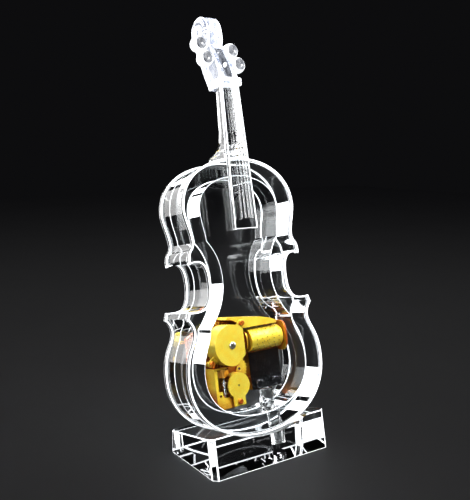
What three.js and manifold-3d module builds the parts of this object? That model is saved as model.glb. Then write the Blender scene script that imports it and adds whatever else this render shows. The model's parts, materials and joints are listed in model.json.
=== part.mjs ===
// A clear violin that leans back in a clear wedge block and holds a key-wound musical movement.
// Millimetres. +X is to the right as seen from the front, +Y goes to the back, +Z is up.
// The origin is the middle of the block's underside. Everything is drawn in the violin's own
// axes, in which it stands straight, and leans back at the end.
import * as THREE from 'three';
import { mergeVertices } from 'three/addons/utils/BufferGeometryUtils.js';
import Module from 'manifold-3d';

const wasm = await Module();
wasm.setup();

// ---------------------------------------------------------------- driving dimensions

const FIT = 0.05;                 // radial running clearance, and the gap left by glued or seated faces

// Base block: its underside is cut at the angle by which the violin leans back
const LEAN = THREE.MathUtils.degToRad(12);
const BASE = { width: 64.6, front: -18.45, back: 17.15, top: 17.9, bottom: -0.1, chamfer: 2.1 };

// Violin body: two plates with a thick rib ring between them
const BODY = { middle: -3.7, thickness: 22.8, plate: 2.5, overhang: 1 };
const BODY_FRONT = BODY.middle - BODY.thickness / 2;
const BODY_BACK = BODY.middle + BODY.thickness / 2;
const INSIDE_FRONT = BODY_FRONT + BODY.plate;
const INSIDE_BACK = BODY_BACK - BODY.plate;

// Heights and half widths of the body outline, from the bottom to the top
const OUTLINE = {
  bottom: 13.5,
  lowerBout: { half: 37.3, z: 42.5 },
  lowerNeck: { half: 31.7, z: 63.5 },
  lowerCorner: { half: 34.4, low: 69.2, high: 72.5 },
  waist: { half: 21.6, z: 84.5 },
  upperCorner: { half: 30.4, low: 92.9, high: 98 },
  upperNeck: { half: 27.7, z: 102.3 },
  upperBout: { half: 30.5, z: 117 },
  top: 139.6,
};

// The hollow inside the ribs
const HOLLOW = {
  bottom: 22.3,
  lower: { half: 28, z: 43.5 },
  lowerKink: { half: 22.5, z: 63.5 },
  waist: { half: 13.3, z: 85 },
  upperKink: { half: 19.5, z: 102.5 },
  upper: { half: 21.2, z: 116 },
  top: 131,
};

// Neck, fingerboard and head
const BOARD = { front: -18.7, back: -15.25, low: 106.5, high: 171.8, halfLow: 6.3, halfHigh: 4.6 };
const NUT = { low: 171.9, high: 175.6, half: 5.4, front: -19.3 };
const STRING = { radius: 0.3, low: 111, high: 171.7, spreadLow: 2.9, spreadHigh: 2.3 };
const SCROLL = { y: -2.6, z: 201.2, half: 6.9, radius: 7.3 };

// Support post
const POST = { x: 10, y: -2.2, radius: 3.5, low: 6, high: 30.9 };

// Movement: y positions run from the bedplate at the back towards the front plate
const PLATE = { back: 4.9, front: 2.7 };
const BARREL = { x: -10.6, z: 54.8, radius: 9.3, wall: 0.6, front: -9.8, back: -1.8 };
const ARBOR = { radius: 1.6, journal: 1.2, tail: 1, step: 5.2, end: 12.2 };
const GREAT = { teeth: 42, module: 0.5, front: 0.9, back: 2.3, slack: 0.25 };
const CONTRATE = { teeth: 36, inner: 8.6, outer: 10.4, tip: -0.4 };
const DRUM = { y: -2.2, z: BARREL.z, radius: 5.3, pin: 0.55, left: 2.1, right: 20.4, tracks: 18 };
const DRUM_PINION = { teeth: 8, left: -2.7, right: 0 };
const SECOND = { pinion: 12, wheel: 24, module: 0.45, direction: THREE.MathUtils.degToRad(-62) };
const THIRD = { pinion: 10, wormTeeth: 20, direction: THREE.MathUtils.degToRad(-120) };
const PIVOT = { second: 0.6, third: 0.5, worm: 0.5 };     // radii of the train's arbors
const WORM = { starts: 2, radius: 1.35, y: -4.1, low: 32.8, high: 38.8 };
const FAN = { radius: 2.9, low: 40.2, high: 43.9 };
const COMB = { left: 3, right: 20.1, low: 31.2, root: 38, front: -2.65, back: -1.75 };

// Turning centres of the governor train, seen from the front
const secondReach = GREAT.module * (GREAT.teeth + SECOND.pinion) / 2 + GREAT.slack;
const SECOND_AXIS = {
  x: BARREL.x + secondReach * Math.cos(SECOND.direction),
  z: BARREL.z + secondReach * Math.sin(SECOND.direction),
};
const thirdReach = SECOND.module * (SECOND.wheel + THIRD.pinion) / 2;
const THIRD_AXIS = {
  x: SECOND_AXIS.x + thirdReach * Math.cos(THIRD.direction),
  z: SECOND_AXIS.z + thirdReach * Math.sin(THIRD.direction),
};
const wormWheelRadius = SECOND.module * THIRD.wormTeeth / 2;
const WORM_AXIS = { x: THIRD_AXIS.x - wormWheelRadius - WORM.radius, y: WORM.y };

// ---------------------------------------------------------------- materials

const clear = { color: 0xe9f1f3, roughness: 0.04, metalness: 0, transparent: true, opacity: 0.35 };
const gold = { color: 0xe8b93a, roughness: 0.28, metalness: 1 };
const paleGold = { color: 0xf3d673, roughness: 0.22, metalness: 1 };
const darkSteel = { color: 0x25272b, roughness: 0.3, metalness: 1 };
const steel = { color: 0xc9ccd0, roughness: 0.25, metalness: 1 };
const fanGold = { color: 0xcf8a2a, roughness: 0.4, metalness: 1 };

// ---------------------------------------------------------------- helpers

const violin = new THREE.Group();

// Puts a named piece into the violin
function add(name, geometry, finish) {
  const mesh = new THREE.Mesh(geometry, new THREE.MeshStandardMaterial(finish));
  mesh.name = name;
  violin.add(mesh);
  return mesh;
}

// Signed volume of a closed geometry: negative when its faces point inwards
function signedVolume(geometry) {
  const corners = geometry.toNonIndexed().attributes.position;
  const [a, b, c] = [new THREE.Vector3(), new THREE.Vector3(), new THREE.Vector3()];
  let volume = 0;
  for (let i = 0; i < corners.count; i += 3) {
    a.fromBufferAttribute(corners, i);
    b.fromBufferAttribute(corners, i + 1);
    c.fromBufferAttribute(corners, i + 2);
    volume += a.dot(b.cross(c)) / 6;
  }
  return volume;
}

function bareMesh(geometry) {
  const bare = geometry.index ? geometry.toNonIndexed() : geometry.clone();
  bare.deleteAttribute('normal');
  bare.deleteAttribute('uv');
  return mergeVertices(bare, 1e-5);
}

function toManifold(geometry) {
  const bare = bareMesh(geometry);
  const triVerts = Uint32Array.from(bare.index.array);
  if (signedVolume(bare) < 0) triVerts.reverse();
  const vertProperties = Float32Array.from(bare.attributes.position.array);
  return new wasm.Manifold(new wasm.Mesh({ numProp: 3, vertProperties, triVerts }));
}

function fromManifold(manifold) {
  const { vertProperties, triVerts } = manifold.getMesh();
  const geometry = new THREE.BufferGeometry();
  geometry.setAttribute('position', new THREE.BufferAttribute(vertProperties, 3));
  geometry.setIndex(new THREE.BufferAttribute(triVerts, 1));
  geometry.computeVertexNormals();
  return geometry;
}

const join = (first, ...others) =>
  fromManifold(others.reduce((sum, other) => sum.add(toManifold(other)), toManifold(first)));

const cut = (first, ...tools) =>
  fromManifold(tools.reduce((rest, tool) => rest.subtract(toManifold(tool)), toManifold(first)));

// Solid of revolution from [radius, height] points. three.js turns a lathe about Y;
// the other axes are reached by turning it.
function turned(profile, axis = 'y', segments = 32) {
  const points = profile.map(([radius, height]) => new THREE.Vector2(radius, height));
  const geometry = new THREE.LatheGeometry(points, segments);
  if (signedVolume(geometry) < 0) geometry.scale(-1, 1, 1);
  if (axis === 'x') geometry.rotateZ(-Math.PI / 2);
  if (axis === 'z') geometry.rotateX(Math.PI / 2);
  return geometry;
}

const rod = (radius, from, to, axis = 'y', segments = 16) =>
  turned([[0, from], [radius, from], [radius, to], [0, to]], axis, segments);

const pipe = (radius, bore, from, to, axis = 'y', segments = 24) =>
  turned([[bore, from], [radius, from], [radius, to], [bore, to], [bore, from]], axis, segments);

// A box given by its two ends along each axis
function block([x0, x1], [y0, y1], [z0, z1]) {
  const geometry = new THREE.BoxGeometry(x1 - x0, y1 - y0, z1 - z0);
  return geometry.translate((x0 + x1) / 2, (y0 + y1) / 2, (z0 + z1) / 2);
}

// A flat piece whose outline is drawn as seen from the front: x across and z up
function upright(shape, front, back, curveSegments = 8) {
  const options = { depth: back - front, bevelEnabled: false, curveSegments };
  return new THREE.ExtrudeGeometry(shape, options).rotateX(Math.PI / 2).translate(0, back, 0);
}

const polygon = (points) => new THREE.Shape(points.map(([x, z]) => new THREE.Vector2(x, z)));

// A right-hand half outline, drawn from bottom to top, closed by its mirror image
function mirrored(drawHalf, divisions) {
  const half = new THREE.Path();
  drawHalf(half);
  const right = half.getPoints(divisions);
  const left = right.slice(1, -1).reverse().map((point) => new THREE.Vector2(-point.x, point.y));
  return new THREE.Shape([...right, ...left]);
}

// Outline of the violin body, drawn inwards by inset
function bodyOutline(inset, divisions = 6) {
  const { lowerBout, lowerNeck, lowerCorner, waist, upperCorner, upperNeck, upperBout } = OUTLINE;
  const bottom = OUTLINE.bottom + inset;
  const top = OUTLINE.top - inset;
  const side = (place) => place.half - inset;
  return mirrored((path) => {
    path.moveTo(0, bottom);
    path.bezierCurveTo(23, bottom, side(lowerBout), 26, side(lowerBout), lowerBout.z);
    path.bezierCurveTo(side(lowerBout), 56, side(lowerNeck), 57.8, side(lowerNeck), lowerNeck.z);
    path.quadraticCurveTo(side(lowerNeck), 66.3, side(lowerCorner), lowerCorner.low + inset / 2);
    path.lineTo(side(lowerCorner) - 1.1, lowerCorner.high - inset / 2);
    path.bezierCurveTo(25.6 - inset, 71.8, side(waist), 72.5, side(waist), waist.z);
    const upperLow = upperCorner.low + inset / 2;
    path.bezierCurveTo(side(waist), 92.4, 24.6 - inset, 95, side(upperCorner), upperLow);
    path.quadraticCurveTo(30.8 - inset, 96.6, 29.4 - inset, upperCorner.high + 0.8);
    path.quadraticCurveTo(side(upperNeck), 100.6, side(upperNeck), upperNeck.z);
    path.bezierCurveTo(side(upperNeck), 107, side(upperBout), 112.4, side(upperBout), upperBout.z);
    path.bezierCurveTo(side(upperBout), 130.5, 17.8, top, 0, top);
  }, divisions);
}

function hollowOutline(divisions = 6) {
  const { lower, lowerKink, waist, upperKink, upper } = HOLLOW;
  return mirrored((path) => {
    path.moveTo(0, HOLLOW.bottom);
    path.bezierCurveTo(17, HOLLOW.bottom, lower.half, 30, lower.half, lower.z);
    path.bezierCurveTo(lower.half, 53, 22.8, 57.5, lowerKink.half, lowerKink.z);
    path.bezierCurveTo(17.5, 69, waist.half, 76, waist.half, waist.z);
    path.bezierCurveTo(waist.half, 93, 16, 98.5, upperKink.half, upperKink.z);
    path.bezierCurveTo(19.8, 108, upper.half, 111, upper.half, upper.z);
    path.bezierCurveTo(upper.half, 125.5, 12.5, HOLLOW.top, 0, HOLLOW.top);
  }, divisions);
}

// Gear outline with straight-sided teeth. A tooth is centred on the angle phase.
function gearOutline(teeth, module, phase) {
  const root = module * teeth / 2 - module;
  const tip = module * teeth / 2 + 0.75 * module;
  const pitchAngle = 2 * Math.PI / teeth;
  const corners = [[root, -0.25], [tip, -0.08], [tip, 0.08], [root, 0.25]];
  const points = [];
  for (let tooth = 0; tooth < teeth; tooth += 1) {
    for (const [radius, share] of corners) {
      const angle = phase + (tooth + share) * pitchAngle;
      points.push(new THREE.Vector2(radius * Math.cos(angle), radius * Math.sin(angle)));
    }
  }
  return new THREE.Shape(points);
}

// Hole whose flats, not its corners, stand at the given radius, so that a round shaft clears it
function roundHole(radius, x = 0, z = 0, sides = 16) {
  const reach = radius / Math.cos(Math.PI / sides);
  return new THREE.Path(Array.from({ length: sides }, (_, i) => {
    const angle = -2 * Math.PI * i / sides;
    return new THREE.Vector2(x + reach * Math.cos(angle), z + reach * Math.sin(angle));
  }));
}

// Gear on an axis along Y, bored for its arbor
function gear(teeth, module, phase, bore, front, back) {
  const outline = gearOutline(teeth, module, phase);
  outline.holes.push(roundHole(bore));
  return upright(outline, front, back, 4);
}

// Turns each layer of a geometry about the axis through which it was extruded
function twistAboutY(geometry, angleAt) {
  const position = geometry.attributes.position;
  for (let i = 0; i < position.count; i += 1) {
    const angle = angleAt(position.getY(i));
    const [x, z] = [position.getX(i), position.getZ(i)];
    position.setX(i, x * Math.cos(angle) - z * Math.sin(angle));
    position.setZ(i, x * Math.sin(angle) + z * Math.cos(angle));
  }
  return geometry;
}

// ---------------------------------------------------------------- base block and support post

// Turns the violin's own axes into those of the table on which the block stands
const baseDepth = (BASE.back - BASE.front) * Math.cos(LEAN) + (BASE.top - BASE.bottom) * Math.sin(LEAN);
const leanBack = new THREE.Matrix4()
  .makeTranslation(0, -baseDepth / 2, 0)
  .multiply(new THREE.Matrix4().makeRotationX(-LEAN))
  .multiply(new THREE.Matrix4().makeTranslation(0, -BASE.front, -BASE.bottom));

// Wedge block, drawn as it stands on the table: a level underside, an upright back, and a front
// and top that lean with the violin. Its four upright corners are chamfered.
function baseBlock() {
  const half = BASE.width / 2;
  const c = BASE.chamfer;
  const outline = (front, back) => [
    [half - c, front], [half, front + c], [half, back - c], [half - c, back],
    [c - half, back], [-half, back - c], [-half, front + c], [c - half, front],
  ];
  const frontHeight = (BASE.top - BASE.bottom) * Math.cos(LEAN);
  const setBack = (BASE.top - BASE.bottom) * Math.sin(LEAN);
  const topAt = (y) => frontHeight - (y - setBack) * Math.tan(LEAN);
  const rings = [
    outline(0, baseDepth).map(([x, y]) => [x, y, 0]),
    outline(setBack, baseDepth).map(([x, y]) => [x, y, topAt(y)]),
  ];
  const sides = rings[0].length;
  const index = [];
  for (let i = 0; i < sides; i += 1) {
    const next = (i + 1) % sides;
    index.push(i, next, next + sides, i, next + sides, i + sides);
  }
  for (let i = 1; i < sides - 1; i += 1) {
    index.push(0, i + 1, i, sides, sides + i, sides + i + 1);
  }
  const geometry = new THREE.BufferGeometry();
  geometry.setAttribute('position', new THREE.Float32BufferAttribute(rings.flat(2), 3));
  geometry.setIndex(index);
  geometry.translate(0, -baseDepth / 2, 0);
  return geometry.applyMatrix4(leanBack.clone().invert());
}

const postHole = () => rod(POST.radius + 0.1, POST.low - 0.2, 40, 'z', 28).translate(POST.x, POST.y, 0);

const saddle = upright(bodyOutline(-0.1), BASE.front - 1, BODY_BACK + 0.1);
add('base_block', cut(baseBlock(), saddle, postHole()), clear);
add('support_post', rod(POST.radius, POST.low, POST.high, 'z', 28).translate(POST.x, POST.y, 0), clear);

// ---------------------------------------------------------------- violin body

add('front_plate', upright(bodyOutline(0), BODY_FRONT, INSIDE_FRONT), clear);

// Screws through the back plate hold the movement; the winding arbor passes through it too
const MOVEMENT_SCREWS = [[-17.4, 38], [10.5, 62.6], [20, 36.5]];
const backOutline = bodyOutline(0);
backOutline.holes.push(roundHole(ARBOR.tail + 0.1, BARREL.x, BARREL.z));
MOVEMENT_SCREWS.forEach(([x, z]) => backOutline.holes.push(roundHole(1.3, x, z)));
add('back_plate', upright(backOutline, INSIDE_BACK, BODY_BACK, 8), clear);

const ringOutline = bodyOutline(BODY.overhang);
ringOutline.holes.push(new THREE.Path(hollowOutline().getPoints().reverse()));
const ring = upright(ringOutline, INSIDE_FRONT + FIT, INSIDE_BACK - FIT);
add('rib_ring', cut(ring, postHole()), clear);

// ---------------------------------------------------------------- neck, fingerboard and head

// A bar lofted through cross-sections. Each section lists [x, y] points at one height.
function loft(sections) {
  const sides = sections[0].points.length;
  const position = sections.flatMap(({ z, points }) => points.flatMap(([x, y]) => [x, y, z]));
  const index = [];
  for (let level = 0; level < sections.length - 1; level += 1) {
    for (let i = 0; i < sides; i += 1) {
      const [a, b] = [level * sides + i, level * sides + (i + 1) % sides];
      index.push(a, b, b + sides, a, b + sides, a + sides);
    }
  }
  const top = (sections.length - 1) * sides;
  for (let i = 1; i < sides - 1; i += 1) {
    index.push(0, i + 1, i, top, top + i, top + i + 1);
  }
  const geometry = new THREE.BufferGeometry();
  geometry.setAttribute('position', new THREE.Float32BufferAttribute(position, 3));
  geometry.setIndex(index);
  if (signedVolume(geometry) < 0) geometry.setIndex(index.reverse());
  return geometry;
}

// Half-round section: flat at the front, an elliptical back
function halfRound(z, half, front, depth, steps = 10) {
  const points = [];
  for (let i = 0; i <= steps; i += 1) {
    const angle = Math.PI * i / steps;
    points.push([half * Math.cos(angle), front + depth * Math.sin(angle)]);
  }
  return { z, points };
}

// Fingerboard section: flat back, gently domed front
function domedBoard(z) {
  const along = (z - BOARD.low) / (BOARD.high - BOARD.low);
  const half = THREE.MathUtils.lerp(BOARD.halfLow, BOARD.halfHigh, along);
  const points = [[half, BOARD.back]];
  for (const share of [1, 0.5, 0, -0.5, -1]) {
    points.push([half * share, BOARD.front + 1.1 * share * share]);
  }
  points.push([-half, BOARD.back]);
  return { z, points };
}

const neckFront = BOARD.back + FIT;
const neckSections = [
  halfRound(136, 6.4, neckFront, 22),
  halfRound(141.5, 6.2, neckFront, 20.5),
  halfRound(144, 5.7, neckFront, 13.5),
  halfRound(147.5, 5.3, neckFront, 9.6),
  halfRound(153, 5.1, neckFront, 8.4),
  halfRound(171.8, 4.6, neckFront, 7.4),
];
add('neck', cut(loft(neckSections), upright(bodyOutline(-0.1), -30, 30)), clear);
add('fingerboard', loft([domedBoard(BOARD.low), domedBoard(BOARD.high)]), clear);
add('nut', block([-NUT.half, NUT.half], [NUT.front, -13.2], [NUT.low, NUT.high]), clear);

// Side profile of the head in the (y, z) plane: pegbox leaning back, then the scroll's round eye
function headProfile() {
  const shape = new THREE.Shape();
  shape.moveTo(-13.1, NUT.low);
  shape.lineTo(-13.1, NUT.high + 0.2);
  shape.lineTo(-17.2, NUT.high + 0.2);
  shape.bezierCurveTo(-16.2, 182, -12.5, 188.5, -9.6, 193.6);
  shape.bezierCurveTo(-10.6, 196, -11, 199, SCROLL.y - SCROLL.radius, SCROLL.z);
  shape.absarc(SCROLL.y, SCROLL.z, SCROLL.radius, Math.PI, 0, true);
  shape.bezierCurveTo(5.4, 196, 1.5, 192.5, -0.8, 187);
  shape.bezierCurveTo(-2.6, 182, -5.2, 176.6, -7.8, NUT.low);
  return shape;
}

// Half width of the head over its height
function headHalfWidth(z) {
  return THREE.MathUtils.mapLinear(Math.min(z, 193), NUT.low, 193, 5.4, 3.8);
}

// The profile is extruded across, then narrowed towards the scroll
function headBlank() {
  const options = { depth: 2, bevelEnabled: false, curveSegments: 8 };
  const geometry = new THREE.ExtrudeGeometry(headProfile(), options);
  geometry.translate(0, 0, -1).rotateX(Math.PI / 2).rotateZ(Math.PI / 2);
  const position = geometry.attributes.position;
  for (let i = 0; i < position.count; i += 1) {
    position.setX(i, position.getX(i) * headHalfWidth(position.getZ(i)));
  }
  return geometry;
}

// Volute: a stepped button that winds out sideways to the scroll's eye
function volute(side) {
  const profile = [
    [0, 3.2], [SCROLL.radius - 0.2, 3.2], [SCROLL.radius - 0.6, 4.6], [4.9, 4.9],
    [4.6, 5.9], [2.8, 6.2], [2.4, SCROLL.half], [0, SCROLL.half],
  ];
  return turned(profile.map(([r, h]) => [r, h * side]), 'x', 24).translate(0, SCROLL.y, SCROLL.z);
}

// Open slot of the pegbox, cut from the front along the lean of the head
const pegSlot = block([-2.1, 2.1], [-6.5, 3.6], [-8.2, 8.2]);
pegSlot.rotateX(-0.42).translate(0, -14.2, 184);
const PEG = { shank: 1.15, thumb: 8.6 };
const PEGS = [
  { name: 'peg_1', side: -1, y: -12, z: 185.6 },
  { name: 'peg_2', side: 1, y: -12.4, z: 183.4 },
  { name: 'peg_3', side: -1, y: -8, z: 193.6 },
  { name: 'peg_4', side: 1, y: -8, z: 191.4 },
];
const pegHoles = PEGS.map(({ side, y, z }) => {
  const span = side > 0 ? [1.4, 8] : [-8, -1.4];
  return rod(PEG.shank + FIT, ...span, 'x', 16).translate(0, y, z);
});
const head = join(headBlank(), volute(-1), volute(1));
add('scroll_head', cut(head, pegSlot, ...pegHoles), clear);

// Peg: a shank with a flattened round thumb piece
function peg(side) {
  const shank = rod(PEG.shank, 1.6, 7.2, 'x', 16);
  const thumb = new THREE.SphereGeometry(1, 12, 8);
  thumb.scale(3.7, 4.3, 3.8).translate(PEG.thumb, 0, 0);
  return join(shank, thumb).scale(side, 1, 1);
}

for (const { name, side, y, z } of PEGS) {
  const geometry = peg(side);
  if (signedVolume(geometry) < 0) geometry.setIndex(Array.from(geometry.index.array).reverse());
  add(name, geometry, clear).position.set(0, y, z);
}

// Four thin strings just above the fingerboard
for (let i = 0; i < 4; i += 1) {
  const share = (i - 1.5) / 1.5;
  const low = new THREE.Vector3(share * STRING.spreadLow, 0, STRING.low);
  const high = new THREE.Vector3(share * STRING.spreadHigh, 0, STRING.high);
  const geometry = new THREE.CylinderGeometry(STRING.radius, STRING.radius, low.distanceTo(high), 6);
  const dome = 1.1 * (STRING.spreadLow / BOARD.halfLow) ** 2 * share * share;
  const string = add(`string_${i + 1}`, geometry, clear);
  string.position.addVectors(low, high).multiplyScalar(0.5);
  string.position.y = BOARD.front + dome - STRING.radius - FIT - 0.12;
  string.quaternion.setFromUnitVectors(new THREE.Vector3(0, 1, 0), high.clone().sub(low).normalize());
}

// ---------------------------------------------------------------- movement: bedplate and cheeks

const BOSS = { left: 3.3, right: 19.6, low: 31.2, high: 37 };
const HOUSING_LUGS = [48, 215].map((degrees) => THREE.MathUtils.degToRad(degrees));
const LUG_REACH = 12.3;
const LUG_FRONT = -6.6;
const LUG_BACK = -5.5;
const lugPlace = (angle) => [BARREL.x + LUG_REACH * Math.cos(angle), BARREL.z + LUG_REACH * Math.sin(angle)];
const BRIDGE = { front: -3.2, back: -2.1 };
const BRIDGE_POSTS = [[-11, 29.6], [-0.6, 35.2]];
const COVER = { front: -7.5, back: -3.3, radius: 5.8, wall: 0.55 };
const COVER_FOOT = [-8.3, 28.8];
const COMB_SCREWS = [6.4, 15.6].map((x) => [x, 33.9]);

function bedplate() {
  const outline = polygon([
    [-16, 26.8], [-5, 26.8], [-3.5, 31.2], [21.8, 31.2], [21.8, 59.6], [18.6, 62.4], [14.8, 64],
    [9, 65.3], [-9.4, 67.3], [-13.4, 66], [-21.9, 58], [-21.9, 33],
  ]);
  outline.holes.push(roundHole(ARBOR.radius + FIT, BARREL.x, BARREL.z));
  outline.holes.push(roundHole(PIVOT.second + FIT, SECOND_AXIS.x, SECOND_AXIS.z));
  outline.holes.push(roundHole(PIVOT.third + FIT, THIRD_AXIS.x, THIRD_AXIS.z));
  const window = polygon([[1.6, 50], [20.6, 50], [20.6, 60], [1.6, 60]]);
  outline.holes.push(new THREE.Path(window.getPoints().reverse()));

  // Top rail: its left end follows the great wheel at a distance
  const clearOfWheel = 11.4;
  const railLow = 61.2;
  const start = Math.asin((railLow - BARREL.z) / clearOfWheel);
  const rail = new THREE.Shape();
  rail.moveTo(18.6, railLow);
  rail.lineTo(18.6, 62.4);
  rail.lineTo(14.8, 64);
  rail.lineTo(9, 65.3);
  rail.lineTo(-9.4, 67.3);
  rail.absarc(BARREL.x, BARREL.z, clearOfWheel, Math.PI * 0.48, start, true);
  const seated = PLATE.front + 0.8;
  const pillar = ([x, z], radius, front) => rod(radius, front, seated, 'y', 16).translate(x, 0, z);
  const posts = [
    ...HOUSING_LUGS.slice(1).map((angle) => pillar(lugPlace(angle), 1.05, LUG_BACK + FIT)),
    ...BRIDGE_POSTS.map((place) => pillar(place, 1.15, BRIDGE.back + FIT)),
    pillar(COVER_FOOT, 1.25, COVER.front + 1 + FIT),
  ];
  const boss = block([BOSS.left, BOSS.right], [COMB.back + FIT, seated], [BOSS.low, BOSS.high]);
  const plate = upright(outline, PLATE.front, PLATE.back, 6);
  const body = join(plate, upright(rail, LUG_BACK + FIT, seated, 6), boss, ...posts);
  const tapped = ([x, z], front, depth) => rod(0.65 + FIT, front, front + depth, 'y', 12).translate(x, 0, z);
  const fixing = ([x, z]) => rod(1 + FIT, PLATE.front + 0.3, PLATE.back + 1, 'y', 16).translate(x, 0, z);
  return cut(
    body,
    ...HOUSING_LUGS.map((angle) => tapped(lugPlace(angle), LUG_BACK - 1, 5)),
    ...BRIDGE_POSTS.map((place) => tapped(place, BRIDGE.back - 1, 4.5)),
    tapped(COVER_FOOT, COVER.front, 5),
    ...MOVEMENT_SCREWS.map(fixing),
    ...COMB_SCREWS.map(([x, z]) => rod(0.9 + FIT, COMB.back - 1, 1.7, 'y', 12).translate(x, 0, z)),
  );
}
add('bedplate', bedplate(), gold);

// Pan-head screw along Y, its head towards the front (side -1) or the back (side 1)
function screw(shank, length, headRadius, headHeight, side) {
  const profile = [[0, -length], [shank, -length], [shank, 0], [headRadius, 0]];
  profile.push([headRadius, headHeight * 0.6], [headRadius * 0.8, headHeight], [0, headHeight]);
  const body = turned(profile.map(([r, h]) => [r, h * side]), 'y', 10);
  const slotDepth = headHeight * 0.45;
  const across = [-headRadius - 1, headRadius + 1];
  const slot = block(across, [headHeight - slotDepth, headHeight + 1], [-0.25, 0.25]);
  if (side < 0) slot.rotateZ(Math.PI);
  return cut(body, slot);
}

MOVEMENT_SCREWS.forEach(([x, z], i) => {
  add(`movement_screw_${i + 1}`, screw(1, 4.6, 2.2, 1.5, 1), steel).position.set(x, BODY_BACK + FIT, z);
});

// Upright cheeks with the drum's bearings, seen from the side: y runs from the bedplate to the front
function cheek(left, right, low, high, front) {
  const middle = (low + high) / 2;
  const nose = (high - low) / 2;
  const shape = new THREE.Shape();
  shape.moveTo(PLATE.front - FIT, low);
  shape.lineTo(PLATE.front - FIT, high);
  shape.lineTo(front + nose * 0.6, high);
  shape.bezierCurveTo(front, high, front, middle + nose * 0.3, front, middle);
  shape.bezierCurveTo(front, middle - nose * 0.3, front, low, front + nose * 0.6, low);
  shape.holes.push(roundHole(0.9 + FIT, DRUM.y, DRUM.z));
  const options = { depth: right - left, bevelEnabled: false, curveSegments: 8 };
  const geometry = new THREE.ExtrudeGeometry(shape, options);
  return geometry.rotateX(Math.PI / 2).rotateZ(Math.PI / 2).translate(left, 0, 0);
}
add('cylinder_bearing_left', cheek(0.7, 1.6, 51, 59, -5), gold);
add('cylinder_bearing_right', cheek(20.65, 21.8, 47.6, 62, -8.8), gold);

// ---------------------------------------------------------------- drum, its drive and the comb

const NOTES = 2;                  // pins on each track

// Pins stand on the drum in one row for each comb tooth, spread round it by a fixed rule
function pinnedDrum() {
  const drum = pipe(DRUM.radius, 0.9 + FIT, DRUM.left, DRUM.right, 'x', 40);
  const trackWidth = (DRUM.right - DRUM.left - 1.6) / (DRUM.tracks - 1);
  const pins = [];
  for (let track = 0; track < DRUM.tracks; track += 1) {
    for (let note = 0; note < NOTES; note += 1) {
      const pin = new THREE.CylinderGeometry(0.16, 0.16, DRUM.pin + 0.6, 4);
      pin.translate(0, DRUM.radius + (DRUM.pin - 0.6) / 2, 0);
      pin.rotateX(2 * Math.PI * (note + ((track * 7) % DRUM.tracks) / DRUM.tracks) / NOTES);
      pins.push(pin.translate(DRUM.left + 0.8 + track * trackWidth, 0, 0));
    }
  }
  return join(drum, ...pins);
}
add('pinned_cylinder', pinnedDrum(), paleGold).position.set(0, DRUM.y, DRUM.z);

add('cylinder_arbor', rod(0.9, DRUM_PINION.left - 0.8, 22.1, 'x', 16), steel).position.set(0, DRUM.y, DRUM.z);

// The pinion meshes with the face teeth of the great wheel, so its module follows from them
const contrateRadius = (CONTRATE.inner + CONTRATE.outer) / 2;
const contrateModule = 2 * contrateRadius / CONTRATE.teeth;
function drumPinion() {
  const towardsWheel = Math.PI / 2 + Math.PI / DRUM_PINION.teeth;
  const outline = gearOutline(DRUM_PINION.teeth, contrateModule, towardsWheel);
  outline.holes.push(roundHole(0.9 + FIT));
  const { left, right } = DRUM_PINION;
  const options = { depth: right - left, bevelEnabled: false, curveSegments: 4 };
  const geometry = new THREE.ExtrudeGeometry(outline, options);
  return geometry.rotateX(Math.PI / 2).rotateZ(Math.PI / 2).rotateX(-Math.PI / 2).translate(left, 0, 0);
}
add('cylinder_pinion', drumPinion(), gold).position.set(0, DRUM.y, DRUM.z);

// Comb: tuned teeth rise from a solid base to the pins' path
function comb() {
  const tip = DRUM.z - DRUM.radius - DRUM.pin - 0.15;
  const trackWidth = (DRUM.right - DRUM.left - 1.6) / (DRUM.tracks - 1);
  const points = [[COMB.left, COMB.low], [COMB.right, COMB.low], [COMB.right, COMB.root]];
  for (let track = DRUM.tracks - 1; track >= 0; track -= 1) {
    const middle = DRUM.left + 0.8 + track * trackWidth;
    const root = COMB.root - 0.18 * (DRUM.tracks - 1 - track);
    points.push([middle + 0.32, root], [middle + 0.2, tip], [middle - 0.2, tip], [middle - 0.32, root]);
  }
  const outline = polygon(points);
  COMB_SCREWS.forEach(([x, z]) => outline.holes.push(roundHole(1.15, x, z)));
  return upright(outline, COMB.front, COMB.back, 4);
}
add('comb', comb(), darkSteel);
COMB_SCREWS.forEach(([x, z], i) => {
  add(`comb_screw_${i + 1}`, screw(0.9, 3.8, 2, 1.3, -1), darkSteel).position.set(x, COMB.front - FIT, z);
});

// ---------------------------------------------------------------- spring, winding arbor and great wheel

// Outline of the housing: round, with flats to the right and to the lower right
const FLATS = [
  { direction: 0, reach: 6.6 },
  { direction: THREE.MathUtils.degToRad(-52), reach: 8.1 },
];
function housingOutline(inset) {
  const steps = 56;
  return polygon(Array.from({ length: steps }, (_, i) => {
    const angle = 2 * Math.PI * i / steps;
    const reaches = FLATS.map(({ direction, reach }) => {
      const share = Math.cos(angle - direction);
      return share > 0.5 ? (reach - inset) / share : BARREL.radius;
    });
    const radius = Math.min(BARREL.radius - inset, ...reaches);
    return [radius * Math.cos(angle), radius * Math.sin(angle)];
  }));
}

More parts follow.
